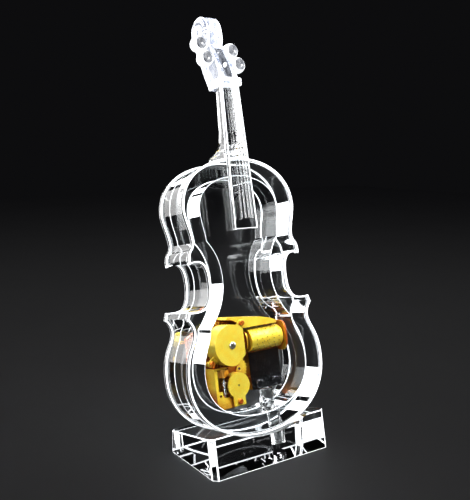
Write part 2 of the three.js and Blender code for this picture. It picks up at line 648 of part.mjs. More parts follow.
function springHousing() {
  const lugs = HOUSING_LUGS.map((angle) => {
    const lug = block([5.6, LUG_REACH], [LUG_FRONT, LUG_BACK], [-1.5, 1.5]);
    const end = rod(1.5, LUG_FRONT, LUG_BACK, 'y', 16).translate(LUG_REACH, 0, 0);
    return join(lug, end).rotateY(-angle);
  });
  const holes = HOUSING_LUGS.map((angle) =>
    rod(0.75, LUG_FRONT - 1, LUG_BACK + 1, 'y', 12).translate(LUG_REACH, 0, 0).rotateY(-angle));
  const shell = join(upright(housingOutline(0), BARREL.front, BARREL.back), ...lugs);
  const room = upright(housingOutline(BARREL.wall), BARREL.front + 0.8, BARREL.back + 1);
  return cut(shell, room, rod(ARBOR.journal + FIT, BARREL.front - 1, 0, 'y', 16), ...holes);
}
add('spring_housing', springHousing(), gold).position.set(BARREL.x, 0, BARREL.z);
HOUSING_LUGS.forEach((angle, i) => {
  const [x, z] = lugPlace(angle);
  add(`housing_screw_${i + 1}`, screw(0.65, 4, 1.4, 1, -1), gold).position.set(x, LUG_FRONT - FIT, z);
});

// Mainspring: a strip wound round the arbor inside the housing
function mainspring() {
  const [turns, start, end, thickness] = [5, 2.2, 5.2, 0.3];
  const stations = turns * 10;
  const edge = (offset) => Array.from({ length: stations + 1 }, (_, i) => {
    const angle = 2 * Math.PI * turns * i / stations;
    const radius = THREE.MathUtils.lerp(start, end, i / stations) + offset;
    return [radius * Math.cos(angle), radius * Math.sin(angle)];
  });
  return upright(polygon([...edge(0), ...edge(thickness).reverse()]), -8.5, -2.6);
}
add('mainspring', mainspring(), steel).position.set(BARREL.x, 0, BARREL.z);

// Winding arbor: riveted front end, spring seat, stepped tail for the key
const arborProfile = [
  [0, BARREL.front - 1],
  [1.1, BARREL.front - 0.85],
  [1.7, BARREL.front - 0.35],
  [1.7, BARREL.front - FIT],
  [ARBOR.journal, BARREL.front - FIT],
  [ARBOR.journal, BARREL.front + 1.1],
  [ARBOR.radius, BARREL.front + 1.1],
  [ARBOR.radius, ARBOR.step],
  [ARBOR.tail, ARBOR.step],
  [ARBOR.tail, ARBOR.end],
  [0, ARBOR.end],
];
add('winding_arbor', turned(arborProfile, 'y', 16), steel).position.set(BARREL.x, 0, BARREL.z);

// Great wheel: spur teeth on the rim drive the governor, face teeth drive the drum
function greatWheel() {
  const rim = gear(GREAT.teeth, GREAT.module, SECOND.direction, ARBOR.radius + FIT, GREAT.front, GREAT.back);
  const faceTeeth = [];
  const pitchAngle = 2 * Math.PI / CONTRATE.teeth;
  for (let tooth = 0; tooth < CONTRATE.teeth; tooth += 1) {
    const foot = 0.26 * contrateModule * Math.PI;
    const crest = 0.12 * contrateModule * Math.PI;
    const base = GREAT.front + 0.3;
    const outline = polygon([[-foot, base], [-crest, CONTRATE.tip], [crest, CONTRATE.tip], [foot, base]]);
    const options = { depth: CONTRATE.outer - CONTRATE.inner, bevelEnabled: false };
    const solid = new THREE.ExtrudeGeometry(outline, options);
    solid.rotateY(Math.PI / 2).translate(CONTRATE.inner, 0, 0);
    faceTeeth.push(solid.rotateY(-tooth * pitchAngle));
  }
  const pivotHole = rod(0.5 + FIT, 0, 3, 'y', 12).translate(0, 0, 6.6);
  return cut(join(rim, ...faceTeeth), pivotHole);
}
add('great_wheel', greatWheel(), gold).position.set(BARREL.x, 0, BARREL.z);

// Ratchet wheel on the arbor, and the click on the great wheel that drops into its teeth
const RATCHET = { teeth: 16, radius: 4.3, depth: 0.8, front: -0.5, back: 0.7 };
function ratchetWheel() {
  const points = [];
  for (let tooth = 0; tooth < RATCHET.teeth; tooth += 1) {
    const angle = 2 * Math.PI * tooth / RATCHET.teeth;
    const root = RATCHET.radius - RATCHET.depth;
    points.push([root * Math.cos(angle), root * Math.sin(angle)]);
    points.push([RATCHET.radius * Math.cos(angle + 0.02), RATCHET.radius * Math.sin(angle + 0.02)]);
  }
  const outline = polygon(points);
  outline.holes.push(roundHole(ARBOR.radius + FIT));
  return upright(outline, RATCHET.front, RATCHET.back, 6);
}
add('ratchet_wheel', ratchetWheel(), steel).position.set(BARREL.x, 0, BARREL.z);

function click() {
  const outline = polygon([[-0.9, 7.3], [-0.9, 5.9], [0.4, 4.85], [2.6, 4.5], [1.4, 6.2], [0.9, 7.3]]);
  const arm = upright(outline, -0.5, 0.8);
  return join(arm, rod(0.5, 0, 2.2, 'y', 12).translate(0, 0, 6.6));
}
add('click', click(), steel).position.set(BARREL.x, 0, BARREL.z);

// Winding key behind the back plate: hub and two pierced wings
const KEY = { hub: 2.7, front: 8.1, hubEnd: 14, wing: 11.5, thickness: 1.5, end: 21 };
function windingKey() {
  const hub = rod(KEY.hub, KEY.front, KEY.hubEnd, 'y', 24);
  const wing = new THREE.Shape();
  wing.moveTo(-2, KEY.hubEnd - 2.5);
  wing.lineTo(2, KEY.hubEnd - 2.5);
  wing.bezierCurveTo(4, 11.8, KEY.wing, 11.2, KEY.wing, 16.2);
  wing.bezierCurveTo(KEY.wing, KEY.end + 1.2, 3.4, KEY.end + 0.8, 0, 17.6);
  wing.bezierCurveTo(-3.4, KEY.end + 0.8, -KEY.wing, KEY.end + 1.2, -KEY.wing, 16.2);
  wing.bezierCurveTo(-KEY.wing, 11.2, -4, 11.8, -2, KEY.hubEnd - 2.5);
  wing.holes.push(roundHole(2, 6.8, 16.4), roundHole(2, -6.8, 16.4));
  const options = { depth: KEY.thickness, bevelEnabled: false, curveSegments: 8 };
  const wings = new THREE.ExtrudeGeometry(wing, options).translate(0, 0, -KEY.thickness / 2);
  return cut(join(hub, wings), rod(ARBOR.tail + FIT, KEY.front - 1, ARBOR.end + FIT, 'y', 20));
}
add('winding_key', windingKey(), gold).position.set(BARREL.x, 0, BARREL.z);

// ---------------------------------------------------------------- governor train

const secondPlace = (mesh) => mesh.position.set(SECOND_AXIS.x, 0, SECOND_AXIS.z);
const thirdPlace = (mesh) => mesh.position.set(THIRD_AXIS.x, 0, THIRD_AXIS.z);
const facingBack = (direction, teeth) => direction + Math.PI + Math.PI / teeth;

const secondPhase = facingBack(SECOND.direction, SECOND.pinion);
const secondBore = PIVOT.second + FIT;
const secondPinion = gear(SECOND.pinion, GREAT.module, secondPhase, secondBore, 0.6, 2.5);
const secondWheel = gear(SECOND.wheel, SECOND.module, THIRD.direction, secondBore, -1.5, -0.7);
secondPlace(add('second_pinion', secondPinion, gold));
secondPlace(add('second_wheel', secondWheel, gold));
secondPlace(add('second_arbor', rod(PIVOT.second, -3, 4.6, 'y', 14), steel));

const thirdPhase = facingBack(THIRD.direction, THIRD.pinion);
const thirdPinion = gear(THIRD.pinion, SECOND.module, thirdPhase, PIVOT.third + FIT, -1.8, -0.4);
thirdPlace(add('third_pinion', thirdPinion, gold));
thirdPlace(add('third_arbor', rod(PIVOT.third, -7.2, 4.6, 'y', 14), steel));

// Worm wheel: its teeth lean by the worm's lead angle
const wormLead = WORM.starts * Math.PI * SECOND.module;
const leanPerMillimetre = wormLead / (2 * Math.PI * WORM.radius) / wormWheelRadius;
const WORM_WHEEL = { front: WORM.y - 0.6, back: WORM.y + 0.6 };
function wormWheel() {
  const { front, back } = WORM_WHEEL;
  const blank = gear(THIRD.wormTeeth, SECOND.module, Math.PI, PIVOT.third + FIT, front, back);
  return twistAboutY(blank, (y) => leanPerMillimetre * (y - WORM.y));
}
thirdPlace(add('worm_wheel', wormWheel(), gold));

// Two-start worm: one cross-section turned evenly along the shaft, between plain journals
function wormShaft() {
  const [root, tip, starts] = [0.85, 1.7, WORM.starts];
  const corners = [[root, -0.23], [tip, -0.06], [tip, 0.06], [root, 0.23], [root, 0.5]];
  const points = [];
  for (let start = 0; start < starts; start += 1) {
    for (const [radius, share] of corners) {
      const angle = 2 * Math.PI * (start + share + 0.5) / starts;
      points.push(new THREE.Vector2(radius * Math.cos(angle), radius * Math.sin(angle)));
    }
  }
  const length = WORM.high - WORM.low;
  const options = { depth: length, bevelEnabled: false, steps: 36 };
  const thread = new THREE.ExtrudeGeometry(new THREE.Shape(points), options);
  const position = thread.attributes.position;
  for (let i = 0; i < position.count; i += 1) {
    const z = position.getZ(i) + WORM.low;
    const angle = 2 * Math.PI * (z - THIRD_AXIS.z) / wormLead;
    const [x, y] = [position.getX(i), position.getY(i)];
    const turnedX = x * Math.cos(angle) - y * Math.sin(angle);
    const turnedY = x * Math.sin(angle) + y * Math.cos(angle);
    position.setXYZ(i, turnedX, turnedY, z);
  }
  return join(thread, rod(PIVOT.worm, 30.4, 45, 'z', 12));
}
add('worm_shaft', wormShaft(), steel).position.set(WORM_AXIS.x, WORM_AXIS.y, 0);

// Fan: two flat vanes on a hub brake the train with air
function fan() {
  const hub = rod(1.1, FAN.low, FAN.high, 'z', 16);
  const vanes = block([-FAN.radius, FAN.radius], [-0.3, 0.3], [FAN.low + 0.3, FAN.high - 0.3]);
  return cut(join(hub, vanes), rod(PIVOT.worm + FIT, FAN.low - 1, FAN.high + 1, 'z', 14));
}
add('fan', fan(), fanGold).position.set(WORM_AXIS.x, WORM_AXIS.y, 0);

// C-shaped bracket with the worm shaft's two bearings and a broad face plate at its foot
function wormBracket() {
  const [left, right] = [WORM_AXIS.x - 5.5, WORM_AXIS.x + 1.2];
  const back = PLATE.front - FIT;
  const foot = block([left + 1, right], [WORM.y - 1.6, back], [27.4, 31.4]);
  const post = block([left, left + 1.5], [WORM.y - 1.6, back], [29.6, 45.1]);
  const arm = block([left + 1.2, right], [WORM.y - 1.3, WORM.y + 1.3], [44.2, 45.1]);
  const outline = polygon([
    [left, 34.4], [left, 29.6], [-16.8, 26.4], [-9.95, 26.4],
    [-9.95, 30.1], [-14.6, 31.2], [-15.8, 32.2], [-16, 34.4],
  ]);
  outline.holes.push(roundHole(0.6, -17.2, 32.6, 12));
  const face = upright(outline, WORM.y - 1.6, WORM.y - 0.5);
  const bearing = rod(PIVOT.worm + FIT, 30.2, 50, 'z', 12).translate(WORM_AXIS.x, WORM_AXIS.y, 0);
  return cut(join(foot, post, arm, face), bearing);
}
add('worm_bracket', wormBracket(), gold);

function trainBridge() {
  const outline = polygon([
    [-12.3, 28.3], [-9.9, 28.3], [-9.4, 31.2], [-6, 32.8], [-0.9, 33.6], [0.9, 34.6], [0.3, 36.5],
    [-4.6, 38.4], [-2.8, 42.2], [-3.2, 44.1], [-5.2, 44], [-6.1, 41.8], [-10.6, 38.4], [-11.6, 32],
  ]);
  outline.holes.push(roundHole(PIVOT.second + FIT, SECOND_AXIS.x, SECOND_AXIS.z));
  outline.holes.push(roundHole(0.8, THIRD_AXIS.x, THIRD_AXIS.z));
  BRIDGE_POSTS.forEach(([x, z]) => outline.holes.push(roundHole(0.75, x, z)));
  return upright(outline, BRIDGE.front, BRIDGE.back, 4);
}
add('train_bridge', trainBridge(), gold);
BRIDGE_POSTS.forEach(([x, z], i) => {
  add(`bridge_screw_${i + 1}`, screw(0.65, 4, 1.1, 0.9, -1), gold).position.set(x, BRIDGE.front - FIT, z);
});

// Round governor cover: a cup over the worm wheel with a foot that is screwed to the bedplate
function governorCover() {
  const cup = rod(COVER.radius, COVER.front, COVER.back, 'y', 40);
  const room = rod(COVER.radius - COVER.wall, COVER.front + 1, COVER.back + 1, 'y', 40);
  const footX = COVER_FOOT[0] - THIRD_AXIS.x;
  const footZ = COVER_FOOT[1] - THIRD_AXIS.z;
  const foot = block([footX - 3.1, footX + 3.1], [COVER.front, COVER.front + 1], [footZ - 1.8, 0]);
  const wormGap = block([-8, -2.9], [COVER.front + 1, COVER.back + 1], [-8, 8]);
  const pivot = rod(PIVOT.third + FIT, COVER.front - 1, 0, 'y', 14);
  const screwHole = rod(0.75, COVER.front - 1, COVER.back, 'y', 12).translate(footX, 0, footZ);
  return cut(join(cup, foot), room, wormGap, pivot, screwHole);
}
thirdPlace(add('governor_cover', governorCover(), paleGold));
const governorScrew = add('governor_screw', screw(0.65, 4, 1.3, 0.9, -1), gold);
governorScrew.position.set(COVER_FOOT[0], COVER.front - FIT, COVER_FOOT[1]);

// ---------------------------------------------------------------- lean

violin.children.forEach((piece) => {
  piece.updateMatrix();
  piece.applyMatrix4(leanBack);
});

export default violin;
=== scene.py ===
"""Clear violin music box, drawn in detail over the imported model.

Millimetres are used for drawing and metres in the scene. Pieces are drawn in the violin's own
axes, in which it stands straight: x to the right, y to the back, z up. VIOLIN then leans them
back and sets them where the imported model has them.
"""
import json
from math import atan2, cos, pi, radians, sin, tan

import bmesh
import bpy
from mathutils import Matrix, Vector


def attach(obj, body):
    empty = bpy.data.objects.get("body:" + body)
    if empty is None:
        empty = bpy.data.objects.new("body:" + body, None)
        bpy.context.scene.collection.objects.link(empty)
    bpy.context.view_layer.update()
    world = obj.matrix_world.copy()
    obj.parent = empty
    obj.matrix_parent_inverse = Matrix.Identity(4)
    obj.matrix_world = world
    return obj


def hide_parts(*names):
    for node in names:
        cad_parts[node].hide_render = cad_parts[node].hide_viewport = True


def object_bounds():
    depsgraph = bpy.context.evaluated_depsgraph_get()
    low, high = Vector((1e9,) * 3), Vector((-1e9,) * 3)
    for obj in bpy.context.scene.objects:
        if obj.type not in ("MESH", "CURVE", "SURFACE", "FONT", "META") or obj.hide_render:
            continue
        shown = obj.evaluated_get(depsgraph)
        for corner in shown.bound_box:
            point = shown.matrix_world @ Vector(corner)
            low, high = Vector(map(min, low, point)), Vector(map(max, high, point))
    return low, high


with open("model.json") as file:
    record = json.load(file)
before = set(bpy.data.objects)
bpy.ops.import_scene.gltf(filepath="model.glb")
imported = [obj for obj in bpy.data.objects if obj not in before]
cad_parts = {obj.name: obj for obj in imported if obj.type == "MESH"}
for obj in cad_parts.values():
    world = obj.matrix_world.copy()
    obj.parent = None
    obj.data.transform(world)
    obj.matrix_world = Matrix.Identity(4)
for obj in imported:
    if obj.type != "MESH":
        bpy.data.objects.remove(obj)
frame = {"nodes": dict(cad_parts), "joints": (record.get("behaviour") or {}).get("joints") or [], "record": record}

CAD_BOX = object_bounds()
MM = 0.001

# ------------------------------------------------------------------ the violin's own axes

SPINDLE = Vector((-10.6, 0, 54.8))          # the winding arbor's axis in the violin's axes


def hinge(name):
    """Place and direction of a joint, in the row frame."""
    joint = next(j for j in frame["joints"] if j["name"] == name)
    return Vector(joint["pos_m"]), Vector(joint["axis"])


spindle_place, spindle_axis = hinge("great_wheel_turn")
LEAN = atan2(-spindle_axis.z, spindle_axis.y)
VIOLIN = (Matrix.Translation(spindle_place) @ Matrix.Rotation(-LEAN, 4, "X")
          @ Matrix.Translation(-SPINDLE * MM))


def axis_place(joint):
    """A point on a joint's axis, in the violin's axes."""
    place, _ = hinge(joint)
    return VIOLIN.inverted() @ place / MM

# ------------------------------------------------------------------ dimensions (mm)

BODY_FRONT, BODY_BACK = -15.1, 7.7
PLATE = 2.5
INSIDE_FRONT, INSIDE_BACK = BODY_FRONT + PLATE, BODY_BACK - PLATE
GAP = 0.05
DRUM = {"y": -2.2, "z": 54.8, "radius": 5.3, "bore": 0.95, "left": 2.1, "right": 20.4, "edge": 0.25,
        "tracks": 18, "notes": 7, "pin": 0.55, "pin_radius": 0.17, "margin": 0.8}
BASE = {"half": 32.3, "front": -18.45, "back": 17.15, "top": 17.9, "bottom": -0.1, "chamfer": 2.1}
POST = {"x": 10, "y": -2.2, "radius": 3.5, "low": 6, "high": 30.9}
BOARD = {"front": -18.7, "back": -15.25, "low": 106.5, "high": 171.8, "half_low": 6.3, "half_high": 4.6,
         "dome": 1.1}
STRING = {"radius": 0.3, "low": 111, "high": 171.7, "spread_low": 2.9, "spread_high": 2.3, "lift": 0.12}
HEAD = {"low": 171.9, "narrow": 193, "half_low": 5.4, "half_high": 3.8}
SCROLL = {"y": -2.6, "z": 201.2, "half": 6.9, "radius": 7.3, "start": 200, "turns": 1.8, "eye": 1.5}
PEG = {"shank": 1.15, "hole": 1.2, "collar": 1.9, "thumb": (3.7, 4.25, 3.75), "hollow": (2.5, 2.4, 2.7)}
BACK_SCREWS = [(-17.4, 38), (10.5, 62.6), (20, 36.5)]
PEGS = {"peg_1": (-1, -12, 185.6), "peg_2": (1, -12.4, 183.4),
        "peg_3": (-1, -8, 193.6), "peg_4": (1, -8, 191.4)}

# ------------------------------------------------------------------ materials


class Paint:
    """A node material with its Principled shader, and the few nodes the finishes share."""

    def __init__(self, name, **values):
        self.material = bpy.data.materials.new(name)
        self.material.use_nodes = True
        self.tree = self.material.node_tree
        self.shader = next(n for n in self.tree.nodes if n.type == "BSDF_PRINCIPLED")
        self.output = next(n for n in self.tree.nodes if n.type == "OUTPUT_MATERIAL")
        self.coords = self.tree.nodes.new("ShaderNodeTexCoord").outputs["Object"]
        for socket, value in values.items():
            self.shader.inputs[socket.replace("_", " ")].default_value = value

    def link(self, output, target):
        self.tree.links.new(output, target)

    def noise(self, scale, detail=4.0, stretch=(1, 1, 1)):
        """Noise over the piece, in features per metre; stretch draws it out along the violin's axes."""
        mapping = self.tree.nodes.new("ShaderNodeMapping")
        mapping.inputs["Rotation"].default_value = (LEAN, 0, 0)
        mapping.inputs["Scale"].default_value = stretch
        node = self.tree.nodes.new("ShaderNodeTexNoise")
        node.inputs["Scale"].default_value = scale
        node.inputs["Detail"].default_value = detail
        node.inputs["Roughness"].default_value = 0.55
        self.link(self.coords, mapping.inputs["Vector"])
        self.link(mapping.outputs["Vector"], node.inputs["Vector"])
        return node.outputs["Fac"]

    def ramp(self, value, *stops):
        """Colours or greys at given positions along a value."""
        node = self.tree.nodes.new("ShaderNodeValToRGB")
        elements = node.color_ramp.elements
        while len(elements) < len(stops):
            elements.new(0.5)
        for element, (position, colour) in zip(elements, stops):
            element.position = position
            element.color = (*colour, 1)
        self.link(value, node.inputs["Fac"])
        return node.outputs["Color"]

    def span(self, value, low, high):
        """A value between 0 and 1 spread over low to high."""
        node = self.tree.nodes.new("ShaderNodeMapRange")
        node.inputs["To Min"].default_value = low
        node.inputs["To Max"].default_value = high
        self.link(value, node.inputs["Value"])
        return node.outputs["Result"]

    def with_painted_shade(self, colour, shade_colour):
        """The colour where the piece lies open, and painted shade in its corners and recesses: a deeper colour
        wherever ambient occlusion finds surfaces close by.
        """
        corners = self.tree.nodes.new("ShaderNodeAmbientOcclusion")
        corners.samples = 8
        corners.inputs["Distance"].default_value = 0.007
        mix = self.tree.nodes.new("ShaderNodeMix")
        mix.data_type = "RGBA"
        mix.inputs["A"].default_value = (*shade_colour, 1)
        openness = self.ramp(corners.outputs["AO"], (0.42, (0, 0, 0)), (0.92, (1, 1, 1)))
        self.link(openness, mix.inputs["Factor"])
        self.link(colour, mix.inputs["B"])
        return mix.outputs["Result"]

    def bump(self, height, depth, strength):
        """Relief of the given depth, in metres."""
        node = self.tree.nodes.new("ShaderNodeBump")
        node.inputs["Strength"].default_value = strength
        node.inputs["Distance"].default_value = depth
        self.link(height, node.inputs["Height"])
        self.link(node.outputs["Normal"], self.shader.inputs["Normal"])

    def lets_lamps_through(self, tint):
        """Lamps shine through the piece, a little weakened, as they do through clear plastic."""
        path = self.tree.nodes.new("ShaderNodeLightPath")
        window = self.tree.nodes.new("ShaderNodeBsdfTransparent")
        window.inputs["Color"].default_value = (*tint, 1)
        mix = self.tree.nodes.new("ShaderNodeMixShader")
        self.link(path.outputs["Is Shadow Ray"], mix.inputs["Fac"])
        self.link(self.shader.outputs["BSDF"], mix.inputs[1])
        self.link(window.outputs["BSDF"], mix.inputs[2])
        self.link(mix.outputs["Shader"], self.output.inputs["Surface"])


def clear_acrylic():
    """Cast acrylic, flame polished: faint waves and a little unevenness in its gloss."""
    paint = Paint("clear_acrylic", Transmission_Weight=1.0, IOR=1.49)
    tone = paint.noise(45, detail=2)
    colour = paint.ramp(tone, (0.3, (0.955, 0.975, 0.985)), (0.7, (0.985, 0.99, 0.995)))
    paint.link(colour, paint.shader.inputs["Base Color"])
    paint.link(paint.span(paint.noise(220), 0.0, 0.014), paint.shader.inputs["Roughness"])
    paint.bump(paint.noise(70, detail=1), 0.0001, 0.2)
    paint.lets_lamps_through((0.93, 0.95, 0.96))
    return paint.material


def rim_with_painted_glow():
    """Bevelled rims of the acrylic, finely sawn and scraped, which gather and scatter the light, and a painted
    glow: they emit a faint light of their own, though they are no lamp.
    """
    # Painted glow: the rims emit a faint light of their own.
    paint = Paint("rim_with_painted_glow", Transmission_Weight=0.15, IOR=1.49,
                  Emission_Color=(0.93, 0.96, 1.0, 1), Emission_Strength=0.9)
    tone = paint.noise(500, detail=3)
    colour = paint.ramp(tone, (0.3, (0.86, 0.9, 0.93)), (0.65, (1.0, 1.0, 1.0)))
    paint.link(colour, paint.shader.inputs["Base Color"])
    paint.link(paint.span(paint.noise(900), 0.18, 0.42), paint.shader.inputs["Roughness"])
    paint.bump(paint.noise(2500, detail=2), 0.00003, 0.5)
    paint.lets_lamps_through((0.8, 0.82, 0.84))
    return paint.material


def moulded_acrylic(name, transmission, deep, bright):
    """Acrylic pressed in a small mould: cloudier than the sheet, with flow marks."""
    paint = Paint(name, Transmission_Weight=transmission, IOR=1.49)
    tone = paint.noise(420, detail=3, stretch=(1, 1, 0.4))
    paint.link(paint.ramp(tone, (0.35, deep), (0.65, bright)), paint.shader.inputs["Base Color"])
    paint.link(paint.span(paint.noise(700), 0.08, 0.3), paint.shader.inputs["Roughness"])
    paint.bump(paint.noise(900, detail=2), 0.00005, 0.4)
    paint.lets_lamps_through((0.85, 0.87, 0.9))
    return paint.material


def plated(name, deep, bright, rough, grain, depth, painted_shade_colour=None):
    """Gold plating over a casting: colour varies a little, with a fine orange-peel surface. With a shade colour
    given, painted shade turns it deeper in corners and recesses.
    """
    paint = Paint(name, Metallic=0.6)
    tone = paint.ramp(paint.noise(350, detail=5), (0.32, deep), (0.68, bright))
    colour = paint.with_painted_shade(tone, painted_shade_colour) if painted_shade_colour else tone
    paint.link(colour, paint.shader.inputs["Base Color"])
    paint.link(paint.span(paint.noise(1400, detail=3), *rough), paint.shader.inputs["Roughness"])
    paint.bump(paint.noise(grain, detail=3), depth, 0.6)
    return paint.material


def ground_steel(name, deep, bright, rough, stretch, depth):
    """Steel with grinding or turning lines along one direction."""
    paint = Paint(name, Metallic=1.0)
    lines = paint.noise(2600, detail=3, stretch=stretch)
    blotch = paint.noise(260, detail=4)
    paint.link(paint.ramp(blotch, (0.3, deep), (0.7, bright)), paint.shader.inputs["Base Color"])
    paint.link(paint.span(lines, *rough), paint.shader.inputs["Roughness"])
    paint.bump(lines, depth, 0.5)
    return paint.material


def studio_floor():
    """Plain pale matt floor."""
    paint = Paint("floor", Specular_IOR_Level=0.25)
    tone = paint.noise(9, detail=3)
    paint.link(paint.ramp(tone, (0.3, (0.76, 0.76, 0.77)), (0.7, (0.8, 0.8, 0.81))),
               paint.shader.inputs["Base Color"])
    paint.link(paint.span(paint.noise(160), 0.65, 0.8), paint.shader.inputs["Roughness"])
    paint.bump(paint.noise(900), 0.00005, 0.3)
    return paint.material


ACRYLIC = clear_acrylic()
EDGE = rim_with_painted_glow()
MOULDED = moulded_acrylic("moulded_acrylic", 0.65, (0.2, 0.23, 0.32), (0.8, 0.83, 0.9))
# Painted shade: near-black acrylic for the pegbox slot and the thumb hollows, standing in for the dark seen
# through them.
PAINTED_SHADE = moulded_acrylic("painted_shade_hollow", 0.5, (0.05, 0.052, 0.06), (0.14, 0.145, 0.16))
# Painted shade: the gold turns deep red-brown in its corners and recesses.
GOLD = plated("gold_plate", (1.0, 0.62, 0.03), (1.0, 0.76, 0.07), (0.34, 0.52), 1600, 0.00003,
              painted_shade_colour=(0.42, 0.08, 0.003))
PALE_GOLD = plated("pale_gold", (1.0, 0.68, 0.04), (1.0, 0.79, 0.09), (0.3, 0.46), 2600, 0.000012)
FAN_GOLD = plated("fan_gold", (0.62, 0.25, 0.03), (0.85, 0.42, 0.06), (0.28, 0.45), 1800, 0.00003)
PIN_METAL = ground_steel("pin_wire", (0.16, 0.1, 0.03), (0.3, 0.2, 0.07), (0.3, 0.5), (1, 1, 1), 0.00001)
DARK_STEEL = ground_steel("dark_steel", (0.05, 0.051, 0.055), (0.12, 0.12, 0.13), (0.14, 0.34),
                          (1, 1, 0.03), 0.00004)
STEEL = ground_steel("bright_steel", (0.5, 0.51, 0.53), (0.72, 0.73, 0.75), (0.14, 0.32),
                     (1, 0.12, 1), 0.00001)
FINISH = {"clear_acrylic": ACRYLIC, "gold_plate": GOLD, "pale_gold": PALE_GOLD, "fan_gold": FAN_GOLD,
          "dark_steel": DARK_STEEL, "bright_steel": STEEL}

FINISH_FACE, RIM_FACE, PAINTED_SHADE_FACE = 0, 1, 2      # numbers of a piece's materials

# ------------------------------------------------------------------ making pieces

BODY_OF = {node: body for body, nodes in frame["record"]["behaviour"]["bodies"].items() for node in nodes}
SLOT_OF = {part["node"]: part["material_slot"] for part in frame["record"]["subparts"]}


def new_object(name, mesh):
    piece = bpy.data.objects.new(name, mesh)
    bpy.context.scene.collection.objects.link(piece)
    return piece


def from_bmesh(name, bm):
    """An object from a finished bmesh, with its faces turned outwards."""
    bmesh.ops.recalc_face_normals(bm, faces=bm.faces)
    mesh = bpy.data.meshes.new(name)
    bm.to_mesh(mesh)
    bm.free()
    return new_object(name, mesh)


def bake(piece):
    """Applies the piece's modifiers."""
    bpy.context.view_layer.update()
    evaluated = piece.evaluated_get(bpy.context.evaluated_depsgraph_get())
    mesh = bpy.data.meshes.new_from_object(evaluated)
    piece.modifiers.clear()
    old = piece.data
    piece.data = mesh
    bpy.data.meshes.remove(old)
    return piece


def discard(piece):
    mesh = piece.data
    bpy.data.objects.remove(piece)
    bpy.data.meshes.remove(mesh)


def carve(piece, *tools):
    """Cuts each tool out of the piece; the tools are used up."""
    for tool in tools:
        modifier = piece.modifiers.new("cut", "BOOLEAN")
        modifier.operation = "DIFFERENCE"
        modifier.solver = "EXACT"
        modifier.object = tool
        bake(piece)
        discard(tool)
    return piece


def empty_slots(piece, count):
    """Makes room for material numbers before the materials themselves are set."""
    while len(piece.data.materials) < count:
        piece.data.materials.append(None)


SHARP = radians(35)             # edges that bend more than this are rounded
CREASE = radians(32)            # edges that bend more than this stay crisp in the shading
COPLANAR = radians(0.6)         # facets that bend less than this are one flat face


def bevel(piece, width, segments=2):
    """Rounds the piece's sharp edges; the new faces take the second material."""
    empty_slots(piece, 2)
    modifier = piece.modifiers.new("bevel", "BEVEL")
    modifier.width = width
    modifier.segments = segments
    modifier.limit_method = "ANGLE"
    modifier.angle_limit = SHARP
    modifier.material = RIM_FACE
    modifier.use_clamp_overlap = True
    return bake(piece)


def shade(piece):
    """Smooth over small bends, with the large faces kept truly flat."""
    for polygon in piece.data.polygons:
        polygon.use_smooth = True
    piece.data.set_sharp_from_angle(angle=CREASE)
    modifier = piece.modifiers.new("flats", "WEIGHTED_NORMAL")
    modifier.keep_sharp = True
    modifier.weight = 90
    return bake(piece)


METALWORK = []                  # pieces that the side lights spare


def settle(piece, node, rims=None, finish=None):
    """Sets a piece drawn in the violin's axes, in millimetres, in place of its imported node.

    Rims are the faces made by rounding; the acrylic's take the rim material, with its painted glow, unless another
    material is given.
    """
    piece.data.transform(VIOLIN @ Matrix.Scale(MM, 4))
    finish = finish or FINISH[SLOT_OF[node]]
    clear = FINISH[SLOT_OF[node]] is ACRYLIC
    if rims is None:
        rims = EDGE if clear else finish
    faces = [0] * len(piece.data.polygons)
    piece.data.polygons.foreach_get("material_index", faces)
    piece.data.materials.clear()
    piece.data.materials.append(finish)
    piece.data.materials.append(rims)
    if PAINTED_SHADE_FACE in faces:
        piece.data.materials.append(PAINTED_SHADE)
    piece.data.polygons.foreach_set("material_index", faces)
    shade(piece)
    piece.visible_diffuse = False           # its bright parts don't light the floor
    if not clear:
        METALWORK.append(piece)
    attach(piece, BODY_OF[node])
    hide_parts(node)
    return piece


def lathe(name, profile, axis="y", centre=(0, 0, 0), segments=72):
    """Solid of revolution from (radius, height) points, which start and end on the axis or meet."""
    bm = bmesh.new()
    rings = []
    for radius, height in profile:
        if radius < 1e-6:
            rings.append([bm.verts.new((0, 0, height))])
            continue
        angles = [2 * pi * i / segments for i in range(segments)]
        rings.append([bm.verts.new((radius * cos(a), radius * sin(a), height)) for a in angles])
    if profile[0] == profile[-1]:
        bmesh.ops.delete(bm, geom=rings[-1], context="VERTS")
        rings[-1] = rings[0]
    for low, high in zip(rings, rings[1:]):
        for i in range(segments):
            j = (i + 1) % segments
            corners = [low[i % len(low)], low[j % len(low)], high[j % len(high)], high[i % len(high)]]
            corners = list(dict.fromkeys(corners))
            if len(corners) > 2:
                bm.faces.new(corners)
    turn = {"x": Matrix.Rotation(pi / 2, 4, "Y"), "y": Matrix.Rotation(-pi / 2, 4, "X"),
            "z": Matrix.Identity(4)}[axis]
    bm.transform(Matrix.Translation(centre) @ turn)
    return from_bmesh(name, bm)


def rod(name, radius, low, high, axis="y", centre=(0, 0, 0), segments=48):
    return lathe(name, [(0, low), (radius, low), (radius, high), (0, high)], axis, centre, segments)


def rounded_rod(name, radius, low, high, edge, axis="y", centre=(0, 0, 0), segments=48):
    """A rod whose end edges are turned to a small radius."""
    arc = [radians(15 * i) for i in range(7)]
    near = [(radius - edge + edge * sin(a), low + edge - edge * cos(a)) for a in arc]
    far = [(radius - edge + edge * cos(a), high - edge + edge * sin(a)) for a in arc]
    return lathe(name, [(0, low), *near, *far, (0, high)], axis, centre, segments)


def box(name, x, y, z):
    bm = bmesh.new()
    bmesh.ops.create_cube(bm, size=1)
    size = (x[1] - x[0], y[1] - y[0], z[1] - z[0])
    middle = Vector(((x[0] + x[1]) / 2, (y[0] + y[1]) / 2, (z[0] + z[1]) / 2))
    bm.transform(Matrix.Translation(middle) @ Matrix.Diagonal((*size, 1)))
    return from_bmesh(name, bm)


